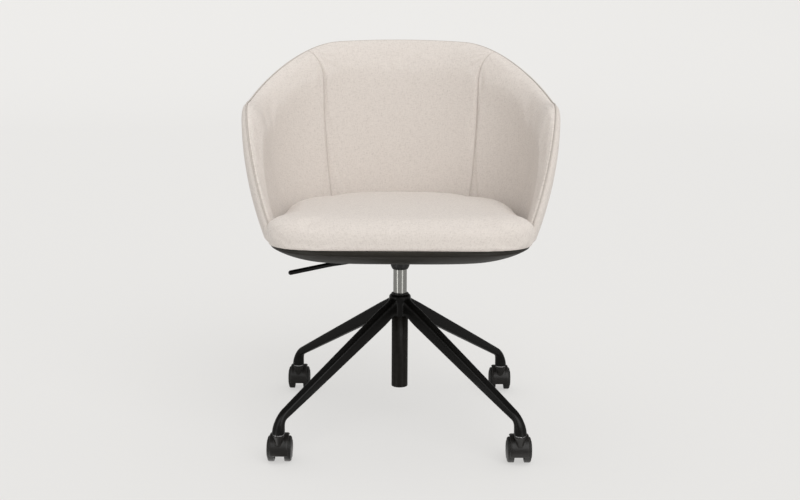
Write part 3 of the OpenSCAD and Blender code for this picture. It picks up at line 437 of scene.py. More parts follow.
# The surface grain of a coated or moulded piece: fine peel, faint dust, and lighter high edges,
# partly rubbed wear and partly a painted edge highlight.
grain, takes, gives = group_of(
    "surface_grain",
    [("Place", "NodeSocketVector", None), ("Peel scale", "NodeSocketFloat", 900.0),
     ("Dust", "NodeSocketFloat", 0.3)], ("Peel", "Dust", "Rub_and_highlight"))
peel = noise_of(grain, takes.outputs["Place"], takes.outputs["Peel scale"], 1.0)
grain.links.new(peel, gives.inputs["Peel"])
cloudy = ramped(grain, noise_of(grain, takes.outputs["Place"], 14.0, 4.0, 0.6), 0.42, 0.75)
grain.links.new(product(grain, cloudy, takes.outputs["Dust"]), gives.inputs["Dust"])
# The high edges found by pointiness get a lighter tone: partly rubbed wear, partly a painted
# highlight along the edges.
shape = grain.nodes.new("ShaderNodeNewGeometry")
patchy = ramped(grain, noise_of(grain, takes.outputs["Place"], 120.0, 3.0, 0.6), 0.3, 0.65)
high = ramped(grain, shape.outputs["Pointiness"], 0.52, 0.6)
grain.links.new(product(grain, high, patchy), gives.inputs["Rub_and_highlight"])


def object_place(tree, scale=None):
    """Where a point lies on its object, stretched by a scale where one is given."""
    place = tree.nodes.new("ShaderNodeTexCoord").outputs["Object"]
    if scale is None:
        return place
    stretch = tree.nodes.new("ShaderNodeMapping")
    stretch.inputs["Scale"].default_value = scale
    tree.links.new(place, stretch.inputs["Vector"])
    return stretch.outputs["Vector"]


def bumped(tree, shader, height, distance, strength=1.0):
    """Wires a height into a shader's normal."""
    bump = tree.nodes.new("ShaderNodeBump")
    bump.inputs["Strength"].default_value = strength
    bump.inputs["Distance"].default_value = distance
    tree.links.new(height, bump.inputs["Height"])
    tree.links.new(bump.outputs["Normal"], shader.inputs["Normal"])


def grained(name, colour, dusty, rubbed_and_highlight, rough, rough_dusty, peel_scale=900.0, peel_height=0.00002,
            specular=0.5, dust=0.3):
    """A coated or moulded finish with the surface grain."""
    material, tree, shader = finish_of(name, colour, rough, specular=specular)
    node = tree.nodes.new("ShaderNodeGroup")
    node.node_tree = grain
    tree.links.new(object_place(tree), node.inputs["Place"])
    node.inputs["Peel scale"].default_value = peel_scale
    node.inputs["Dust"].default_value = dust
    # Lighter colour on the high edges: partly rubbed wear, partly a painted edge highlight.
    tinted = blended(tree, node.outputs["Rub_and_highlight"], blended(tree, node.outputs["Dust"], colour, dusty),
                     rubbed_and_highlight)
    tree.links.new(tinted, shader.inputs["Base Color"])
    tree.links.new(ramped(tree, node.outputs["Dust"], 0.0, 1.0, rough, rough_dusty),
                   shader.inputs["Roughness"])
    bumped(tree, shader, node.outputs["Peel"], peel_height, 0.6)
    return material


# Each grained finish's fourth colour is its high-edge tone, partly rubbed wear and partly a painted
# edge highlight.
black_coat = grained("black_coat", (0.0035, 0.0033, 0.0029), (0.009, 0.0085, 0.0078),
                     (0.022, 0.021, 0.02), 0.3, 0.42, specular=0.22, dust=0.15)
casting.data.materials.append(black_coat)
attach(casting, "base")
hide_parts("base_casting")

# Standing tube and its bush: a drawn steel tube pressed up into the hub, coated black, with a
# moulded bush pushed into its top. A plate near the tube's lower end carries the bearing.
stand_r, stand_bore_r = 0.017, 0.0155
stand_z, plate_z, plate_top_z = 0.087, 0.093, 0.097
stand_top_z = hub_top_z - 0.0002
rod_hole_r, lip = 0.00505, 0.0012
stand = turned("stand", [
    (rod_hole_r, plate_z), (stand_bore_r - lip, plate_z), (stand_bore_r - lip, stand_z),
    (stand_r - lip, stand_z), (stand_r - lip * 0.3, stand_z + lip * 0.3),
    (stand_r, stand_z + lip), (stand_r, stand_top_z), (stand_bore_r, stand_top_z),
    (stand_bore_r, plate_top_z), (rod_hole_r, plate_top_z), (rod_hole_r, plate_z)])
tube_coat = grained("tube_coat", (0.0058, 0.0047, 0.0034), (0.0072, 0.0059, 0.0044),
                    (0.012, 0.0105, 0.009), 0.38, 0.44, peel_scale=1500.0, specular=0.2, dust=0.06)
stand.data.materials.append(tube_coat)
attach(stand, "base")
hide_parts("standing_tube")

tube_r, tube_gap, soft = 0.014, 0.00005, 0.0006
bush_r, bush_z, bush_flange_r, bush_top_z = 0.01545, 0.214, 0.018, 0.2876
bush = turned("bush", [
    (tube_r + tube_gap, bush_z), (bush_r, bush_z), (bush_r, hub_top_z),
    (bush_flange_r - 0.0003, hub_top_z), (bush_flange_r, hub_top_z + 0.0004),
    (bush_flange_r, bush_top_z - soft), (bush_flange_r - soft, bush_top_z),
    (tube_r + soft, bush_top_z), (tube_r + tube_gap, bush_top_z - soft),
    (tube_r + tube_gap, bush_z)])
bush_plastic = grained("bush_plastic", (0.012, 0.0115, 0.011), (0.03, 0.03, 0.029),
                       (0.05, 0.05, 0.05), 0.45, 0.62)
bush.data.materials.append(bush_plastic)
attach(bush, "base")
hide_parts("guide_bush")

# Gas spring: a chrome tube with a tapered top slides in the bush, on a piston rod that a clip
# holds in the standing tube's end plate, on a small ball bearing under a rubber bumper.
tube_z, socket_z, tube_top_z = 0.17, 0.3456, 0.3891
taper_r, tube_bore_r, gland_top_z, bore_top_z = 0.0131, 0.012, 0.18, 0.3256
valve_hole_r, valve_hole_z = 0.00405, 0.3651
gas_tube = turned("gas_tube", [
    (rod_hole_r, tube_z), (tube_r - 0.001, tube_z), (tube_r, tube_z + 0.001), (tube_r, socket_z),
    (taper_r, tube_top_z - soft), (taper_r - soft, tube_top_z), (valve_hole_r, tube_top_z),
    (valve_hole_r, valve_hole_z), (0, valve_hole_z), (0, bore_top_z), (tube_bore_r, bore_top_z),
    (tube_bore_r, gland_top_z), (rod_hole_r, gland_top_z), (rod_hole_r, tube_z)], steps=128)


def drawn_metal(name, colour, rough):
    """Ground or drawn metal: fine rings round the vertical axis, and a faint haze."""
    material, tree, shader = finish_of(name, colour, rough, metal=1.0)
    rings = noise_of(tree, object_place(tree, (1, 1, 60)), 40.0, 3.0)
    haze = noise_of(tree, object_place(tree), 30.0, 3.0)
    tree.links.new(ramped(tree, haze, 0.35, 0.7, rough, rough * 1.5), shader.inputs["Roughness"])
    bumped(tree, shader, rings, 0.000004)
    darker = tuple(part * 0.93 for part in colour)
    tree.links.new(blended(tree, ramped(tree, rings, 0.3, 0.7), colour, darker),
                   shader.inputs["Base Color"])
    return material


tube_chrome = drawn_metal("tube_chrome", (0.52, 0.52, 0.495), 0.17)
bright_steel = drawn_metal("bright_steel", (0.55, 0.55, 0.56), 0.3)
gas_tube.data.materials.append(tube_chrome)
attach(gas_tube, "seat")
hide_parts("pressure_tube")
black_rubber = grained("black_rubber", (0.014, 0.0135, 0.013), (0.04, 0.04, 0.038),
                       (0.02, 0.02, 0.02), 0.75, 0.85, peel_scale=600.0)


def wear(material, *nodes):
    """Gives CAD nodes that stay as they are a material."""
    for node in nodes:
        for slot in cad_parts[node].material_slots:
            slot.material = material


wear(bright_steel, "thrust_washer_lower", "thrust_balls", "thrust_washer_upper", "rod_washer",
     "piston_rod")
wear(black_coat, "rod_clip", "valve_pin")
wear(black_rubber, "rubber_bumper")

# Collar: a sleeve moulded in black plastic that tapers in to the chrome tube. It is pushed up over
# the mechanism's socket and hides the end of the tube's taper.
collar_r, collar_bore_r, socket_outer_r = 0.0195, 0.0142, 0.0168
collar_z, collar_lip_z, collar_top_z = 0.3386, 0.339, 0.3845
collar = turned("collar", [
    (collar_bore_r, collar_lip_z), (0.0156, collar_z), (0.0163, collar_lip_z),
    (0.0191, socket_z - 0.001), (collar_r, socket_z + soft), (collar_r, collar_top_z),
    (socket_outer_r, collar_top_z), (socket_outer_r, socket_z), (collar_bore_r, socket_z),
    (collar_bore_r, collar_lip_z)])
satin_plastic = grained("satin_plastic", (0.011, 0.0105, 0.0095), (0.03, 0.029, 0.027),
                        (0.035, 0.034, 0.033), 0.36, 0.55, peel_scale=1300.0)
collar.data.materials.append(satin_plastic)
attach(collar, "seat")
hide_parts("collar_sleeve")

# Mechanism: a pressed and welded steel housing, coated black. Four bright bolts hold it up against
# the board, in tee nuts, and like screws hold the shell.
wear(black_coat, "mechanism_housing")
wear(bright_steel, "lever_pin", "mechanism_bolts", "tee_nuts", "shell_screws")

# Height lever: one bent steel rod with a rounded end, coated black, that tips on its pin and
# presses the valve. Its path runs from the pin down through the pan and out to the side.
lever_r = 0.00475
lever_path = [(-0.036, 0, 0.3946), (-0.05, -0.0049, 0.3865), (-0.068, -0.0119, 0.3724),
              (-0.0949, -0.0238, 0.3603), (-0.1409, -0.0378, 0.3547), (-0.1685, -0.0497, 0.3512),
              (-0.22, -0.07, 0.3441)]


def smooth_path(spots, steps):
    """Points of a smooth curve through the spots."""
    spots = [Vector(spot) for spot in spots]
    ends = [spots[0] * 2 - spots[1]] + spots + [spots[-1] * 2 - spots[-2]]
    made = []
    for a, b, c, d in zip(ends, ends[1:], ends[2:], ends[3:]):
        for i in range(steps):
            t = i / steps
            made.append(((b * 2) + (c - a) * t + (a * 2 - b * 5 + c * 4 - d) * t * t
                         + (b * 3 - a - c * 3 + d) * t ** 3) / 2)
    return made + [spots[-1]]


def rod_along(bm, path, radii, sides, cloth=False):
    """A closed rod along a path, with a radius at each of its points."""
    frames = []
    side = Vector((0, 0, 1)).cross(path[1] - path[0]).normalized()
    for i, spot in enumerate(path):
        along = (path[min(i + 1, len(path) - 1)] - path[max(i - 1, 0)]).normalized()
        side = (side - along * side.dot(along)).normalized()
        frames.append((spot, side, along.cross(side)))

    def place(u, v):
        i = round(v * (len(path) - 1))
        spot, side, up = frames[i]
        turn = u * math.tau
        return spot + (side * math.cos(turn) + up * math.sin(turn)) * radii[i]

    lengths = [0.0]
    for a, b in zip(path, path[1:]):
        lengths.append(lengths[-1] + (b - a).length)

    def lay(u, v):
        i = round(v * (len(path) - 1))
        return u * math.tau * max(radii), lengths[i]

    draped(bm, sides, len(path) - 1, place, lay if cloth else None)


tip_steps, path_steps = 6, 8
path = smooth_path(lever_path, path_steps)
out = (path[-1] - path[-2]).normalized()
radii = [lever_r] * len(path)
for i in range(1, tip_steps + 1):
    turn = math.pi / 2 * i / tip_steps
    path.append(Vector(lever_path[-1]) + out * lever_r * math.sin(turn))
    radii.append(max(lever_r * math.cos(turn), 0.0002))
bm = bmesh.new()
rod_along(bm, path, radii, 32)
closed(bm)
boss_r, boss_half, pin_hole_r = 0.006, 0.0257, 0.00305
arm_l, arm_half_w, arm_h, arm_z, nose_r, nose_z = 0.033, 0.006, 0.006, 0.4001, 0.004, 0.3997


def plain_rod(r, low, high):
    """The profile of a plain round rod or hole."""
    return [(0, low), (r, low), (r, high), (0, high)]


def rounded_box(bm, centre, size, radius, segments, upright=False):
    """Adds a box with all its edges rounded, or only the upright ones."""
    made = bmesh.ops.create_cube(bm, size=1, matrix=Matrix.Translation(centre)
                                 @ Matrix.Diagonal((*size, 1)))
    edges = {edge for vert in made["verts"] for edge in vert.link_edges}
    if upright:
        edges = {edge for edge in edges
                 if abs(edge.verts[0].co.z - edge.verts[1].co.z) > size[2] / 2}
    bmesh.ops.bevel(bm, geom=list(edges), offset=radius, affect="EDGES", segments=segments,
                    profile=0.5, material=-1)


spun(bm, [(pin_hole_r, -boss_half), (boss_r - soft, -boss_half), (boss_r, -boss_half + soft),
          (boss_r, boss_half - soft), (boss_r - soft, boss_half), (pin_hole_r, boss_half),
          (pin_hole_r, -boss_half)], 48, centre=lever_path[0], axis=(0, 1, 0))
rounded_box(bm, (-arm_l / 2, 0, arm_z), (arm_l, 2 * arm_half_w, arm_h), 0.001, 2)
spun(bm, plain_rod(nose_r, -arm_half_w, arm_half_w), 32, centre=(0, 0, nose_z), axis=(0, 1, 0))
joined(bm)
lever = linked("height_lever_rod", bm)
lever.data.materials.append(black_coat)
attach(lever, "lever")
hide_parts("lever")

# Seat board: birch plywood, cut with a stepped edge that the pan and the shell's foot close round.
# It carries the mechanism below and the foam of the seat above.
seat_z, seat_gap, ply_h = 0.4245, 0.0003, 0.0028
plywood, tree, shader = finish_of("birch_plywood", (0.55, 0.4, 0.24), rough=0.62)
split = tree.nodes.new("ShaderNodeSeparateXYZ")
tree.links.new(object_place(tree), split.inputs[0])
ply = figured(tree, "FRACT", product(tree, split.outputs["Z"], 1 / ply_h))
fibre = noise_of(tree, object_place(tree, (6, 90, 90)), 4.0, 5.0, 0.6)
face = blended(tree, ramped(tree, fibre, 0.35, 0.7), (0.6, 0.45, 0.28), (0.4, 0.27, 0.15))
tree.links.new(blended(tree, ramped(tree, ply, 0.45, 0.55), face, (0.36, 0.24, 0.13)),
               shader.inputs["Base Color"])
bumped(tree, shader, fibre, 0.0001)
wear(plywood, "seat_board")

# Seat pan: a black moulded tray that covers the mechanism, with a polished rim band over a
# shadow groove and sides that swell from the flat floor; screwed up into the board from below.
seat_shift = 0.06
pan_half_w, pan_front, pan_back = 0.258, 0.195, 0.262
floor_half_w, floor_front, floor_back = 0.194, 0.097, 0.165
pan_z, pan_rim_z, pan_wall = 0.3805, 0.4165, 0.003
pan_front_power, pan_back_power = 3.5, 2.3
screw_share, screw_front_share = 0.62, 0.5
screw_spots = [(side * screw_share * floor_half_w, reach - seat_shift, 0) for side in (-1, 1)
               for reach in (-screw_front_share * floor_front, screw_share * floor_back)]
screw_hole_r, screw_head_r, screw_boss_r, screw_boss_top_r = 0.00205, 0.0043, 0.006, 0.0052
screw_boss_z, screw_boss_top_z, screw_head_h = pan_z + 0.002, 0.4082, 0.0025
tube_hole_r, pan_through = 0.0199, 0.002
slot_centre, slot_size = (-0.0594, -0.0086, pan_z + 0.0015), (0.034, 0.024, 0.008)


def oval(angle, half_w, front, back, front_power, back_power):
    """One point of an oval plan with a different reach in front of and behind its widest line."""
    c, s = math.cos(angle), math.sin(angle)
    reach, power = (front, front_power) if s < 0 else (back, back_power)
    span = ((abs(c) / half_w) ** power + (abs(s) / reach) ** power) ** (-1 / power)
    return span * c, span * s


def pan_spot(angle, swell, inset, z):
    """A point of the pan, from its flat floor's edge, swell 0, to its rim, swell 1."""
    low = oval(angle, floor_half_w - inset, floor_front - inset, floor_back - inset,
               pan_front_power, pan_back_power)
    high = oval(angle, pan_half_w - inset, pan_front - inset, pan_back - inset,
                pan_front_power, pan_back_power)
    return Vector((mix(low[0], high[0], swell), mix(low[1], high[1], swell) - seat_shift, z))


side_rise, side_bulge, side_steps, pan_across = pan_rim_z - pan_z, 0.35, 14, 160
groove, band_round, band_wall = 0.0035, 0.0012, 0.004
pan_rows = []
for i in range(side_steps + 1):
    t = i / side_steps
    swell = mix(t, math.sin(math.pi / 2 * t), side_bulge)
    rise = mix(t, 1 - math.cos(math.pi / 2 * t), side_bulge)
    pan_rows.append((swell, 0.0, pan_z + side_rise * rise))
pan_rows[-1] = (1.0, groove, pan_rim_z - 0.0002)
pan_rows += [(1.0, groove, pan_rim_z + 0.0008), (1.0, 0.0008, pan_rim_z + 0.001),
             (1.0, 0.0, pan_rim_z + 0.0018), (1.0, 0.0, seat_z - band_round),
             (1.0, 0.0004, seat_z - 0.0004), (1.0, band_round, seat_z), (1.0, band_wall, seat_z),
             (1.0, band_wall, pan_rim_z + 0.0016), (0.5, pan_wall, mix(pan_z, pan_rim_z, 0.4)),
             (0.0, pan_wall, pan_z + pan_wall)]


def pan_place(u, v):
    swell, inset, z = pan_rows[round(v * (len(pan_rows) - 1))]
    return pan_spot(u * math.tau, swell, inset, z)


bm = bmesh.new()
draped(bm, pan_across, len(pan_rows) - 1, pan_place)
bmesh.ops.remove_doubles(bm, verts=bm.verts, dist=1e-6)
bmesh.ops.holes_fill(bm, edges=[edge for edge in bm.edges if edge.is_boundary], sides=0)
bmesh.ops.recalc_face_normals(bm, faces=bm.faces)
for spot in screw_spots:
    spun(bm, [(screw_hole_r, screw_boss_z), (screw_boss_r, screw_boss_z),
              (screw_boss_top_r, screw_boss_top_z), (screw_hole_r, screw_boss_top_z),
              (screw_hole_r, screw_boss_z)], 24, centre=spot)
pan = linked("pan", bm)


def cut_through(piece, *cutters):
    """Cuts closed shapes out of a piece and drops them."""
    for i, cutter in enumerate(cutters):
        cut = piece.modifiers.new("cut%d" % i, "BOOLEAN")
        cut.operation = "DIFFERENCE"
        cut.solver = "EXACT"
        cut.object = cutter
    applied(piece)
    shaded(piece)
    for cutter in cutters:
        bpy.data.objects.remove(cutter)


bm = bmesh.new()
spun(bm, plain_rod(tube_hole_r, pan_z - pan_through, pan_z + 0.005), 64)
closed(bm)
rounded_box(bm, slot_centre, slot_size, 0.006, 4, upright=True)
for spot in screw_spots:
    spun(bm, plain_rod(screw_head_r, pan_z - pan_through, pan_z + screw_head_h), 32, centre=spot)
joined(bm, 1e-7)
cut_through(pan, linked("pan_openings", bm))
pan_plastic = grained("pan_plastic", (0.0185, 0.0158, 0.0112), (0.028, 0.0245, 0.019),
                      (0.035, 0.032, 0.028), 0.4, 0.55, peel_scale=1100.0, peel_height=0.00003,
                      specular=0.28, dust=0.15)
pan.data.materials.append(pan_plastic)
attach(pan, "seat")
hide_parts("seat_pan")
wear(black_coat, "pan_screws")

# Upholstery cloth: a plain weave of two beiges and a grey, spun with uneven thick and thin threads.
# It is laid on each padded piece's own flat pattern.
weave, takes, gives = group_of(
    "melange_weave",
    [("Flat", "NodeSocketVector", None), ("Pitch", "NodeSocketFloat", 0.0011)],
    ("Thread", "Melange", "Height"))
split = weave.nodes.new("ShaderNodeSeparateXYZ")
weave.links.new(takes.outputs["Flat"], split.inputs[0])


def threads_along(across):
    """Where a point lies across one set of threads, its thread's number, and the thread's swell."""
    run = figured(weave, "DIVIDE", across, takes.outputs["Pitch"])
    swell = figured(weave, "SINE", product(weave, figured(weave, "FRACT", run), math.pi))
    return run, figured(weave, "FLOOR", run), swell


def thread_tone(number, along, seed):
    """An uneven tone that runs along one thread."""
    spot = weave.nodes.new("ShaderNodeCombineXYZ")
    weave.links.new(product(weave, number, 3.7), spot.inputs["X"])
    weave.links.new(product(weave, along, 0.09), spot.inputs["Y"])
    spot.inputs["Z"].default_value = seed
    return noise_of(weave, spot.outputs[0], 1.0, 2.0, 0.6)


warp, warp_no, warp_in = threads_along(split.outputs["X"])
weft, weft_no, weft_in = threads_along(split.outputs["Y"])
over = figured(weave, "FLOORED_MODULO", total(weave, warp_no, weft_no), 2.0)
on_top = figured(weave, "SUBTRACT", 1.0, over)
hump = total(weave, product(weave, over, warp_in, weft_in),
             product(weave, on_top, weft_in, figured(weave, "POWER", warp_in, 0.5)))
tone = total(weave, product(weave, over, thread_tone(warp_no, weft, 3.0)),
             product(weave, on_top, thread_tone(weft_no, warp, 11.0)))
weave.links.new(tone, gives.inputs["Thread"])
slub = noise_of(weave, takes.outputs["Flat"], 210.0, 3.0, 0.65)
weave.links.new(slub, gives.inputs["Melange"])
weave.links.new(total(weave, hump, product(weave, slub, 0.8)), gives.inputs["Height"])


def cloth_finish(name, light, mid, dark):
    """Upholstery cloth laid on the piece's own flat pattern."""
    material, tree, shader = finish_of(name, mid, rough=0.9, specular=0.15)
    flat = tree.nodes.new("ShaderNodeUVMap")
    flat.uv_map = "cloth"
    node = tree.nodes.new("ShaderNodeGroup")
    node.node_tree = weave
    tree.links.new(flat.outputs["UV"], node.inputs["Flat"])
    threads = blended(tree, ramped(tree, node.outputs["Thread"], 0.34, 0.68), dark, light)
    tree.links.new(blended(tree, ramped(tree, node.outputs["Melange"], 0.36, 0.66), threads, mid),
                   shader.inputs["Base Color"])
    bumped(tree, shader, node.outputs["Height"], 0.0003, 0.55)
    shader.inputs["Sheen Weight"].default_value = 0.15
    shader.inputs["Sheen Roughness"].default_value = 0.5
    return material


beige_cloth = cloth_finish("beige_cloth", (0.77, 0.715, 0.665), (0.71, 0.655, 0.61),
                           (0.588, 0.535, 0.495))

# Seat cushion: a moulded foam block under one drawn-over cover, wide in front of the arms and
# narrower between them, crowned on top. It is swelled by simulation from a smaller block.
cushion_half_w, cushion_inner_half_w = 0.2705, 0.24
cushion_front, cushion_back, cushion_h = 0.206, 0.237, 0.058
cushion_front_power, cushion_back_power = 5.2, 2.1
cushion_flare, notch_y, notch_soft = 0.012, -0.19, 0.008
cushion_height_shares = [0, 0.06, 0.16, 0.32, 0.5, 0.66, 0.78, 0.87, 0.93, 0.97, 0.99]
cushion_side_shares = [0, 0.09, 0.23, 0.44, 0.64, 0.8, 0.89, 0.94, 0.965, 0.98, 0.99]
cushion_side_x, cushion_side_soft = 0.17, 0.06
cushion_plan_shares = [0.955, 0.978, 0.993, 1, 0.998, 0.985, 0.958, 0.9, 0.8, 0.62, 0.36]
cushion_across, cushion_grow, cushion_cap = 144, -0.003, 0.006
cushion_voxel, cushion_foot_h, cushion_held_h = 0.005, 0.004, 0.003
swell_pressure, swell_frames = 4.0, 20


def cushion_plan(angle, grow):
    """A point of the cushion's plan, as wide as it can be in front of the arms' feet."""
    half_w = cushion_half_w if math.sin(angle) < 0 else cushion_inner_half_w
    x, y = oval(angle, half_w + grow, cushion_front + grow, cushion_back + grow,
                cushion_front_power, cushion_back_power)
    y -= seat_shift
    side_w = (cushion_inner_half_w + grow
              + cushion_flare * max(0, -seat_shift - y) / (-seat_shift - notch_y))
    inner_x = min(abs(x), side_w)
    return math.copysign(mix(abs(x), inner_x, ease((y - notch_y) / notch_soft + 0.5)), x), y


def cushion_place(u, v):
    k = round(v * (len(cushion_plan_shares) - 1))
    x, y = cushion_plan(u * math.tau, cushion_grow)
    share = cushion_plan_shares[k]
    height = mix(cushion_height_shares[k], cushion_side_shares[k],
                 ease((abs(x) - cushion_side_x) / cushion_side_soft))
    return Vector((x * share, (y + seat_shift) * share - seat_shift,
                   seat_z + seat_gap + height * (cushion_h + cushion_grow)))


def swelled(piece, cap, pinned):
    """Swells a closed padded piece by its inner pressure; held points stay, none moves past cap."""
    scene = bpy.context.scene
    before = [vert.co.copy() for vert in piece.data.vertices]
    still = piece.vertex_groups.new(name="held")
    still.add([vert.index for vert in piece.data.vertices if pinned(vert.co, vert.index)], 1.0,
              "REPLACE")
    cloth = piece.modifiers.new("cloth", "CLOTH")
    cloth.settings.quality = 5
    cloth.settings.vertex_group_mass = "held"
    cloth.settings.use_pressure = True
    cloth.settings.uniform_pressure_force = swell_pressure
    cloth.settings.effector_weights.gravity = 0
    cloth.settings.tension_stiffness = cloth.settings.compression_stiffness = 15
    cloth.settings.shear_stiffness = 5
    cloth.settings.bending_stiffness = 0.5
    cloth.collision_settings.use_collision = False
    cloth.point_cache.frame_start, cloth.point_cache.frame_end = 1, swell_frames
    for number in range(1, swell_frames + 1):
        scene.frame_set(number)
    puffed = piece.evaluated_get(bpy.context.evaluated_depsgraph_get())
    after = [vert.co.copy() for vert in puffed.to_mesh().vertices]
    puffed.to_mesh_clear()
    piece.modifiers.remove(cloth)
    piece.vertex_groups.remove(still)
    scene.frame_set(1)
    for vert, start, end in zip(piece.data.vertices, before, after):
        move = end - start
        vert.co = start + (move * (cap / move.length) if move.length > cap else move)


def softly_divided(piece):
    """Adds the last subdivision."""
    finer = piece.modifiers.new("finer", "SUBSURF")
    finer.levels = finer.render_levels = 1


bm = bmesh.new()
draped(bm, cushion_across, len(cushion_plan_shares) - 1, cushion_place)
closed(bm)
cushion = linked("cushion", bm)
remeshed(cushion, cushion_voxel)
smoothed(cushion, 6, lambda co: co.z > seat_z + cushion_foot_h)
swelled(cushion, cushion_cap, lambda co, index: co.z < seat_z + cushion_held_h)
smoothed(cushion, 2, lambda co: co.z > seat_z + cushion_foot_h)


def lay_outward(piece, centre, top_z):
    """A flat pattern from the plan, pushed outward by how far the cloth has dropped."""
    flat = piece.data.uv_layers.new(name="cloth")
    for loop in piece.data.loops:
        co = piece.data.vertices[loop.vertex_index].co
        out = Vector((co.x - centre[0], co.y - centre[1]))
        reach = max(out.length, 1e-4)
        flat.data[loop.index].uv = out * (1 + max(top_z - co.z, 0) / reach)


lay_outward(cushion, (0, -seat_shift), seat_z + cushion_h)
shaded(cushion)
softly_divided(cushion)
cushion.data.materials.append(beige_cloth)
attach(cushion, "seat")
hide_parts("seat_cushion")

# Tub: a moulded plastic shell, padded inside with a back pad and an arm pad each side, and
# covered outside with a thin padded cover. Its face is an oval that swells, leans and tucks in.
tub_w, tub_widest_h, tub_tuck = 0.626, 0.225, 0.0405
tub_front, tub_centre_y, tub_back_y, tub_lean = 0.327, -0.03, 0.214, 0.042
tub_power = 2.25
back_h, arm_h = 0.3745, 0.2585
rim_roll, wall_back, wall_side, cover_h, core_h = 0.028, 0.042, 0.046, 0.009, 0.008
shoulder_low, shoulder_high, shoulder_power, crown_share = 0.0, 62.3, 0.93, 0.147
seam_angle, rim_corner, rim_foot, rim_foot_h = 47.0, -3.6, -33.2, 0.005
corner_share, foot_angle = 0.49, -15.0
arm_angle_shares, arm_height_shares = (0.545, 0.665), (0.975, 0.66)
back_rings, arm_rings = 7, 24
last_column = back_rings + arm_rings
bend_share, bend_rings = 0.4, 9
crest_depth, roll_reach, roll_drop = 0.015, 0.08, 0.017
front_share, side_angle, back_angle = 0.55, 50.0, 90.0
seam_columns, seam_reach = 0.73, 0.07
foot_h, core_edge = 0.006, 0.02
wall_gap = 0.0006
core_depth = cover_h + wall_gap
pad_depth = core_depth + core_h + wall_gap
widest_z = seat_z + tub_widest_h
m_per_degree = math.pi / 180 * tub_w / 2


def tub_face(degrees, z, depth):
    """A point of the tub's outer face, or at a depth inside it."""
    half_w = tub_w / 2 - tub_tuck * ((widest_z - z) / tub_widest_h) ** 2
    back = tub_back_y + tub_lean * (z - seat_z) / back_h - tub_centre_y
    angle = math.radians(degrees)
    reach = tub_front if math.sin(angle) < 0 else back
    x, y = oval(angle, half_w, tub_front, back, tub_power, tub_power)
    lean = Vector((math.copysign((abs(x) / half_w) ** (tub_power - 1) / half_w, x),
                   math.copysign((abs(y) / reach) ** (tub_power - 1) / reach, y)))
    lean.normalize()
    return Vector((x - depth * lean.x, tub_centre_y + y - depth * lean.y, z))


def top_z(degrees):
    rise = ease((degrees - shoulder_low) / (shoulder_high - shoulder_low)) ** shoulder_power
    bow = math.sin(math.radians(max(degrees, 0))) ** 2
    return seat_z + mix(arm_h, back_h, mix(rise, bow, crown_share))


def bezier(a, b, c, d, t):
    return (a * (1 - t) ** 3 + 3 * b * t * (1 - t) ** 2 + 3 * c * t * t * (1 - t) + d * t ** 3)


def angle_at(i, last, share=1):
    """The angle of a column: even steps to the seam, and even steps from there to a last angle."""
    if i <= back_rings:
        return mix(90, seam_angle, i / back_rings)
    return mix(seam_angle, last, (i - back_rings) / arm_rings / share)


def rim_at(i):
    """The rim's angle and height at a column, from the middle of the back to the arm's foot."""
    part = (i - back_rings) / arm_rings
    if part <= corner_share:
        degrees = angle_at(i, rim_corner, corner_share)
        return Vector((degrees, top_z(degrees)))
    t = (part - corner_share) / (1 - corner_share)
    start_h = top_z(rim_corner) - seat_z
    angles = [mix(rim_corner, rim_foot, share) for share in arm_angle_shares]
    heights = [share * start_h for share in arm_height_shares]
    return Vector((bezier(rim_corner, *angles, rim_foot, t),
                   seat_z + bezier(start_h, *heights, rim_foot_h, t)))


@functools.lru_cache(None)
def half_column(i):
    """A column of the wall's right half, from its rim to its foot, as column_at gives it."""
    rim = rim_at(i)
    foot = Vector((angle_at(i, foot_angle), seat_z + seat_gap))
    before, after = rim_at(max(i, 1) - 0.5), rim_at(min(max(i, 1) + 0.5, last_column))
    along = Vector(((after.x - before.x) * m_per_degree, after.y - before.y))
    square = Vector((-along.y / m_per_degree, along.x)) / along.length
    span = Vector(((foot.x - rim.x) * m_per_degree, foot.y - rim.y)).length
    bend = ((rim + foot) / 2).lerp(rim + square * span * bend_share,
                                   ease((i - back_rings) / bend_rings))
    return rim, bend, foot, span


def column_at(i):
    """A column of the wall: the rim, bend and foot of its curve, and its length."""
    return half_column(round(abs(i), 6))


def wall_at(i, set_back, depth):
    """A point of the wall: set back from the rim along its column, at a depth under the face."""
    rim, bend, foot, span = column_at(i)
    t = held(set_back / span)
    spot = rim * (1 - t) ** 2 + bend * 2 * t * (1 - t) + foot * t * t
    p = tub_face(spot.x, max(spot.y, seat_z + seat_gap), depth)
    return Vector((-p.x if i < 0 else p.x, p.y, p.z))


def span_at(i):
    return column_at(i)[3]


def wall_depth(i, set_back):
    """The padded wall's depth: it swells from its crest, and thins towards the arm's front."""
    degrees = column_at(i)[2].x
    front = ease(((abs(i) - back_rings) / arm_rings - front_share) / (1 - front_share))
    full = mix(mix(wall_side, wall_back, ease((degrees - side_angle) / (back_angle - side_angle))),
               rim_roll, front)
    rest = 1 - held(set_back / roll_reach)
    return mix(crest_depth, full, math.sqrt(1 - rest * rest))


def roll_back(depth):
    """How far the rolled edge outside its crest lies below it."""
    q = min(max(depth / crest_depth - 1, -1), 0)
    return roll_drop * (1 - math.sqrt(1 - q * q))


# Tub pads: soft foam panels glued to the shell and sewn to each other at a tucked seam, pulled
# over the shell's edge to the piping. Each is swelled by simulation with its hidden sides held.
wall_steps, roll_steps, edge_steps, hidden_steps = 36, 26, 3, 12
seam_tuck, seam_soft, seam_power, seam_gap_share = 0.0028, 0.0065, 1.6, 0.02
heart_below, heart_in = 0.012, 0.02
pad_shrink, pad_cap, crest_climb, pad_crowding = 0.0015, 0.003, 0.027, 0.75
back_across, arm_across, edge_columns = 92, 84, 2
roll_row, edge_row = wall_steps, wall_steps + roll_steps
tuck_row = edge_row + edge_steps
pad_rows = tuck_row + 2 + hidden_steps


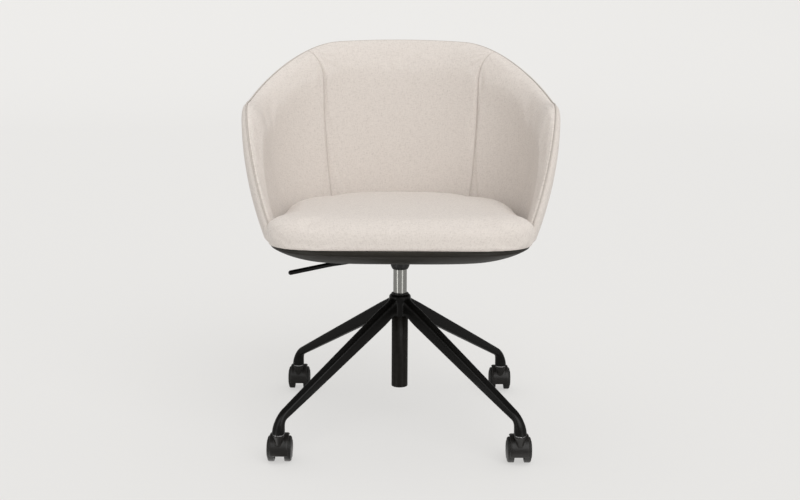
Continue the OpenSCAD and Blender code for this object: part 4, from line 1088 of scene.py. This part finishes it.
def past_rim(i, set_back):
    """The column of a pad's point: the seam runs towards the middle from the rim downwards."""
    rest = 1 - held(set_back / seam_reach)
    shift = seam_columns * (1 - rest * rest)
    if abs(i) <= back_rings:
        return i * (1 - shift / back_rings)
    return math.copysign(abs(i) - shift * (last_column - abs(i)) / arm_rings, i)


def pad_set_back(i, row):
    """How far from the crest a row of a pad's inner face lies."""
    if row <= roll_row:
        low = span_at(past_rim(i, roll_reach)) - foot_h - seat_gap
        return mix(low, roll_reach, row / roll_row)
    return roll_reach * (1 - math.sin(math.pi / 2 * (row - roll_row) / roll_steps))


def pad_spot(i, row, seams):
    """A point of a pad's section: up the inner side, over the crest, and down behind the foam."""
    low = span_at(i) - foot_h - seat_gap
    if row <= edge_row:
        set_back = pad_set_back(i, row)
        k = past_rim(i, set_back)
        full = wall_depth(k, set_back)
        thin = pad_shrink * min((full - crest_depth) / crest_depth, 1)
        spot = wall_at(k, set_back, full - thin)
        for seam in seams:
            seam_k = past_rim(seam, set_back)
            apart = (spot - wall_at(seam_k, set_back, full)).length
            sink = seam_tuck * (1 - min(apart / seam_soft, 1)) ** seam_power
            if sink > 0:
                heart = wall_at(k, set_back + heart_below, max(full - heart_in, pad_depth))
                spot += (heart - spot).normalized() * sink
        return spot
    if row <= tuck_row:
        depth = mix(crest_depth, core_depth, (row - edge_row) / edge_steps)
        return wall_at(i, roll_back(depth), depth)
    if row <= tuck_row + 2:
        return wall_at(i, core_edge, core_depth if row == tuck_row + 1 else pad_depth)
    return wall_at(i, mix(core_edge, low, (row - tuck_row - 2) / hidden_steps), pad_depth)


climbs = [0.0]
for step in range(roll_steps):
    a, b = (math.pi / 2 * n / roll_steps for n in (step, step + 1))
    climbs.append(climbs[-1] + math.hypot(roll_reach * (math.sin(b) - math.sin(a)),
                                          crest_climb * (math.cos(a) - math.cos(b))))


def round_tub(i, degrees):
    """How far round the tub an angle lies on the flat cloth, on the side of its column."""
    return math.copysign((90 - degrees) * m_per_degree, i)


def pad_flat(i, row):
    """The same point on the flat cloth: round the tub, and up the wall and over the crest."""
    set_back = pad_set_back(i, min(row, edge_row))
    k = past_rim(i, set_back)
    rim, _, foot, span = column_at(k)
    climb = -set_back if row <= roll_row else -roll_reach + climbs[min(row - roll_row, roll_steps)]
    degrees = mix(rim.x, foot.x, min(set_back / span, 1))
    return round_tub(k, degrees), climb + rim.y


def crowded(u):
    """Sets columns closer together near a panel's two edges."""
    return mix(u, 0.5 - 0.5 * math.cos(math.pi * u), pad_crowding)


def padded_panel(name, first, last, across, seams):
    """One pad between two columns."""
    bm = bmesh.new()
    marks = bm.verts.layers.int.new("held")
    draped(bm, across, pad_rows,
           lambda u, v: pad_spot(mix(first, last, crowded(u)), round(v * pad_rows), seams),
           lambda u, v: pad_flat(mix(first, last, crowded(u)), round(v * pad_rows)))
    for n, vert in enumerate(bm.verts):
        row, step = divmod(n, across + 1)
        vert[marks] = int(row < 2 or row > edge_row
                          or step < edge_columns or step > across - edge_columns)
    bm.verts.index_update()
    feet = [edge for edge in bm.edges if edge.is_boundary
            and {vert.index // (across + 1) for vert in edge.verts} in ({0}, {pad_rows})]
    bmesh.ops.bridge_loops(bm, edges=feet)
    closed(bm)
    pad = linked(name, bm)
    marked = [item.value for item in pad.data.attributes["held"].data]
    pad.data.attributes.remove(pad.data.attributes["held"])
    swelled(pad, pad_cap, lambda co, index: marked[index])
    softly_divided(pad)
    pad.data.materials.append(beige_cloth)
    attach(pad, "seat")
    return pad


back_panel = padded_panel("back_panel", -back_rings, back_rings, back_across,
                          (-back_rings, back_rings))
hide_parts("back_pad")
for side, sign in (("left", -1), ("right", 1)):
    arm_panel = padded_panel(side + "_arm_panel", sign * (back_rings + seam_gap_share),
                             sign * last_column, arm_across, (sign * back_rings,))
    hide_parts(side + "_arm_pad")

# Outer cover: the same cloth on thin foam, pulled round the outside of the shell from the piping
# down to the board, where its edge turns in.
cover_rows, cover_edge_rows, inside_rows, cover_across = 44, 5, 16, 248
cover_turn = cover_h * 0.15


def cover_spot(i, row):
    low = span_at(i)
    if row <= cover_edge_rows:
        depth = mix(cover_h, 0, row / cover_edge_rows)
        return wall_at(i, roll_back(depth), depth)
    if row <= cover_rows:
        part = (row - cover_edge_rows) / (cover_rows - cover_edge_rows)
        return wall_at(i, mix(roll_drop, low - cover_h / 2, part), 0)
    if row == cover_rows + 1:
        return wall_at(i, low - cover_turn, cover_turn)
    if row == cover_rows + 2:
        return wall_at(i, low, cover_h / 2)
    part = (row - cover_rows - 3) / inside_rows
    return wall_at(i, mix(low, roll_back(cover_h), part), cover_h)


def cover_flat(i, row):
    rim, _, foot, span = column_at(i)
    drop = mix(0, span, min(row, cover_rows) / cover_rows)
    return -round_tub(i, mix(rim.x, foot.x, min(drop / span, 1))), rim.y - drop


bm = bmesh.new()
rows = cover_rows + 3 + inside_rows
draped(bm, cover_across, rows,
       lambda u, v: cover_spot(mix(-last_column, last_column, u), round(v * rows)),
       lambda u, v: cover_flat(mix(-last_column, last_column, u), round(v * rows)))
closed(bm)
cover = linked("tub_cover", bm)
softly_divided(cover)
cover.data.materials.append(beige_cloth)
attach(cover, "seat")
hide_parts("outer_cover")

# Piping: a thin cord wrapped in the same cloth, painted darker to stand in for the shade in the
# seam's groove. It is sewn into the seam between the pads and the cover.
piping_r, piping_sit, piping_steps, piping_sides = 0.0015, 0.0006, 6, 14
piping_low, piping_in = 2 * roll_drop, 0.75 * rim_roll
spots = []
for n in range(-last_column * piping_steps, last_column * piping_steps + 1):
    i = n / piping_steps
    seam = wall_at(i, roll_back(cover_h), cover_h)
    inside = wall_at(i, piping_low, piping_in)
    spots.append(seam + (seam - inside).normalized() * piping_sit)
bm = bmesh.new()
rod_along(bm, spots, [piping_r] * len(spots), piping_sides, cloth=True)
closed(bm)
piping = linked("piping", bm)
# Painted shade: the piping's cloth is darker than the pads' cloth to stand in for the seam's shadow
# groove.
piping_shaded_cloth = cloth_finish("piping_shaded_cloth", (0.6, 0.555, 0.51), (0.55, 0.505, 0.465),
                          (0.455, 0.415, 0.375))
piping.data.materials.append(piping_shaded_cloth)
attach(piping, "seat")
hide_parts("rim_piping")

# Shell core: the shell moulded in black plastic between the pads and the cover, screwed down to the
# board. Only its foot shows, from below.
shell_plastic = grained("shell_plastic", (0.03, 0.029, 0.027), (0.06, 0.058, 0.055),
                        (0.06, 0.06, 0.06), 0.5, 0.65)
wear(shell_plastic, "shell_core")

# Casters: each a hood moulded in black nylon that turns on a steel stem pressed into the leg's end,
# over two wheels with a soft tread on one steel axle.
wheel_gap, trail, axle_z = 0.02, 0.022, 0.025
wheel_line = [
    (0.00305, 0), (0.009, 0), (0.009, 0.004), (0.021, 0.004), (0.021, 0.0003), (0.0215, 0),
    (0.0242, 0), (0.0248, 0.0003), (0.025, 0.001), (0.025, 0.0095), (0.0247, 0.0109),
    (0.0238, 0.0121), (0.0225, 0.0128), (0.0195, 0.0134), (0.0168, 0.0144), (0.0084, 0.0149),
    (0, 0.015), (0, 0.0123), (0.00305, 0.0123), (0.00305, 0)]
hood_r, hood_inner_r, hood_half_w, hood_round = 0.031, 0.027, 0.019, 0.003
hood_from, hood_to = math.radians(-12), math.radians(122)
web_r, web_half_w, axle_boss_r = 0.029, 0.0085, 0.011
neck_line = [(0, 0.0345), (0.005, 0.0352), (0.0056, 0.0385), (0.0072, 0.0455), (0.0097, 0.054),
             (0.012, 0.0598), (0, 0.0598)]
stem_bore_r, stem_bore_z, axle_bore_r, axle_bore_half = 0.0041, 0.0378, 0.0031, 0.0115
hood_voxel, turn_steps = 0.0009, 72
hood_plastic = grained("hood_plastic", (0.0125, 0.0115, 0.0105), (0.024, 0.0225, 0.021),
                       (0.04, 0.038, 0.036), 0.34, 0.5, peel_scale=1000.0, specular=0.3,
                       dust=0.15)
tyre_rubber = grained("tyre_rubber", (0.0125, 0.012, 0.011), (0.03, 0.029, 0.027),
                      (0.02, 0.02, 0.019), 0.5, 0.75, peel_scale=500.0, specular=0.3, dust=0.2)


def caster_hood(name, stem_x, stem_y):
    """The hood: a rounded shell over the wheels, a web between them, and the stem's flared neck."""
    axle = Vector((stem_x, stem_y + trail, axle_z))
    stem = Vector((stem_x, stem_y, 0))
    front = (0, -math.cos(hood_from), math.sin(hood_from))
    side, inner = hood_half_w, hood_half_w - hood_round
    inset = 0.3 * hood_round
    shell = [(hood_r - hood_round, -side), (hood_r - inset, inset - side), (hood_r, -inner),
             (hood_r, inner), (hood_r - inset, side - inset), (hood_r - hood_round, side),
             (hood_inner_r, side), (hood_inner_r, -side), (hood_r - hood_round, -side)]
    web = plain_rod(web_r, -web_half_w, web_half_w)
    about_axle = {"centre": axle, "axis": (-1, 0, 0), "away": front}
    sector = {**about_axle, "angle": hood_to - hood_from}
    bm = bmesh.new()
    for profile, place in ((shell, sector), (web + web[:1], sector),
                           (plain_rod(axle_boss_r, -web_half_w, web_half_w), about_axle),
                           (neck_line, {"centre": stem})):
        added(bm, profile, turn_steps, **place)
    hood = linked(name, bm)
    remeshed(hood, hood_voxel)
    smoothed(hood, 4)
    stem_bore = turned("stem_bore", plain_rod(stem_bore_r, stem_bore_z, leg_end_z), 48, centre=stem)
    axle_bore = turned("axle_bore", plain_rod(axle_bore_r, -axle_bore_half, axle_bore_half), 48,
                       centre=axle, axis=(1, 0, 0), away=(0, 1, 0))
    cut_through(hood, stem_bore, axle_bore)
    return hood


for corner, sign_x, sign_y in (("front_left", -1, -1), ("front_right", 1, -1),
                               ("back_left", -1, 1), ("back_right", 1, 1)):
    wear(bright_steel, corner + "_stem", corner + "_axle")
    hood = caster_hood(corner + "_cover", sign_x * stem_xy, sign_y * stem_xy)
    hood.data.materials.clear()
    hood.data.materials.append(hood_plastic)
    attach(hood, corner + "_caster")
    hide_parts(corner + "_hood")
    for wheel, side in (("a", -1), ("b", 1)):
        centre = Vector((sign_x * stem_xy + side * wheel_gap / 2, sign_y * stem_xy + trail, axle_z))
        tyre = turned("%s_tyre_%s" % (corner, wheel), wheel_line, turn_steps, centre=centre,
                      axis=(side, 0, 0), away=(0, 1, 0))
        tyre.data.materials.append(tyre_rubber)
        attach(tyre, "%s_wheel_%s_body" % (corner, wheel))
        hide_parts("%s_wheel_%s" % (corner, wheel))
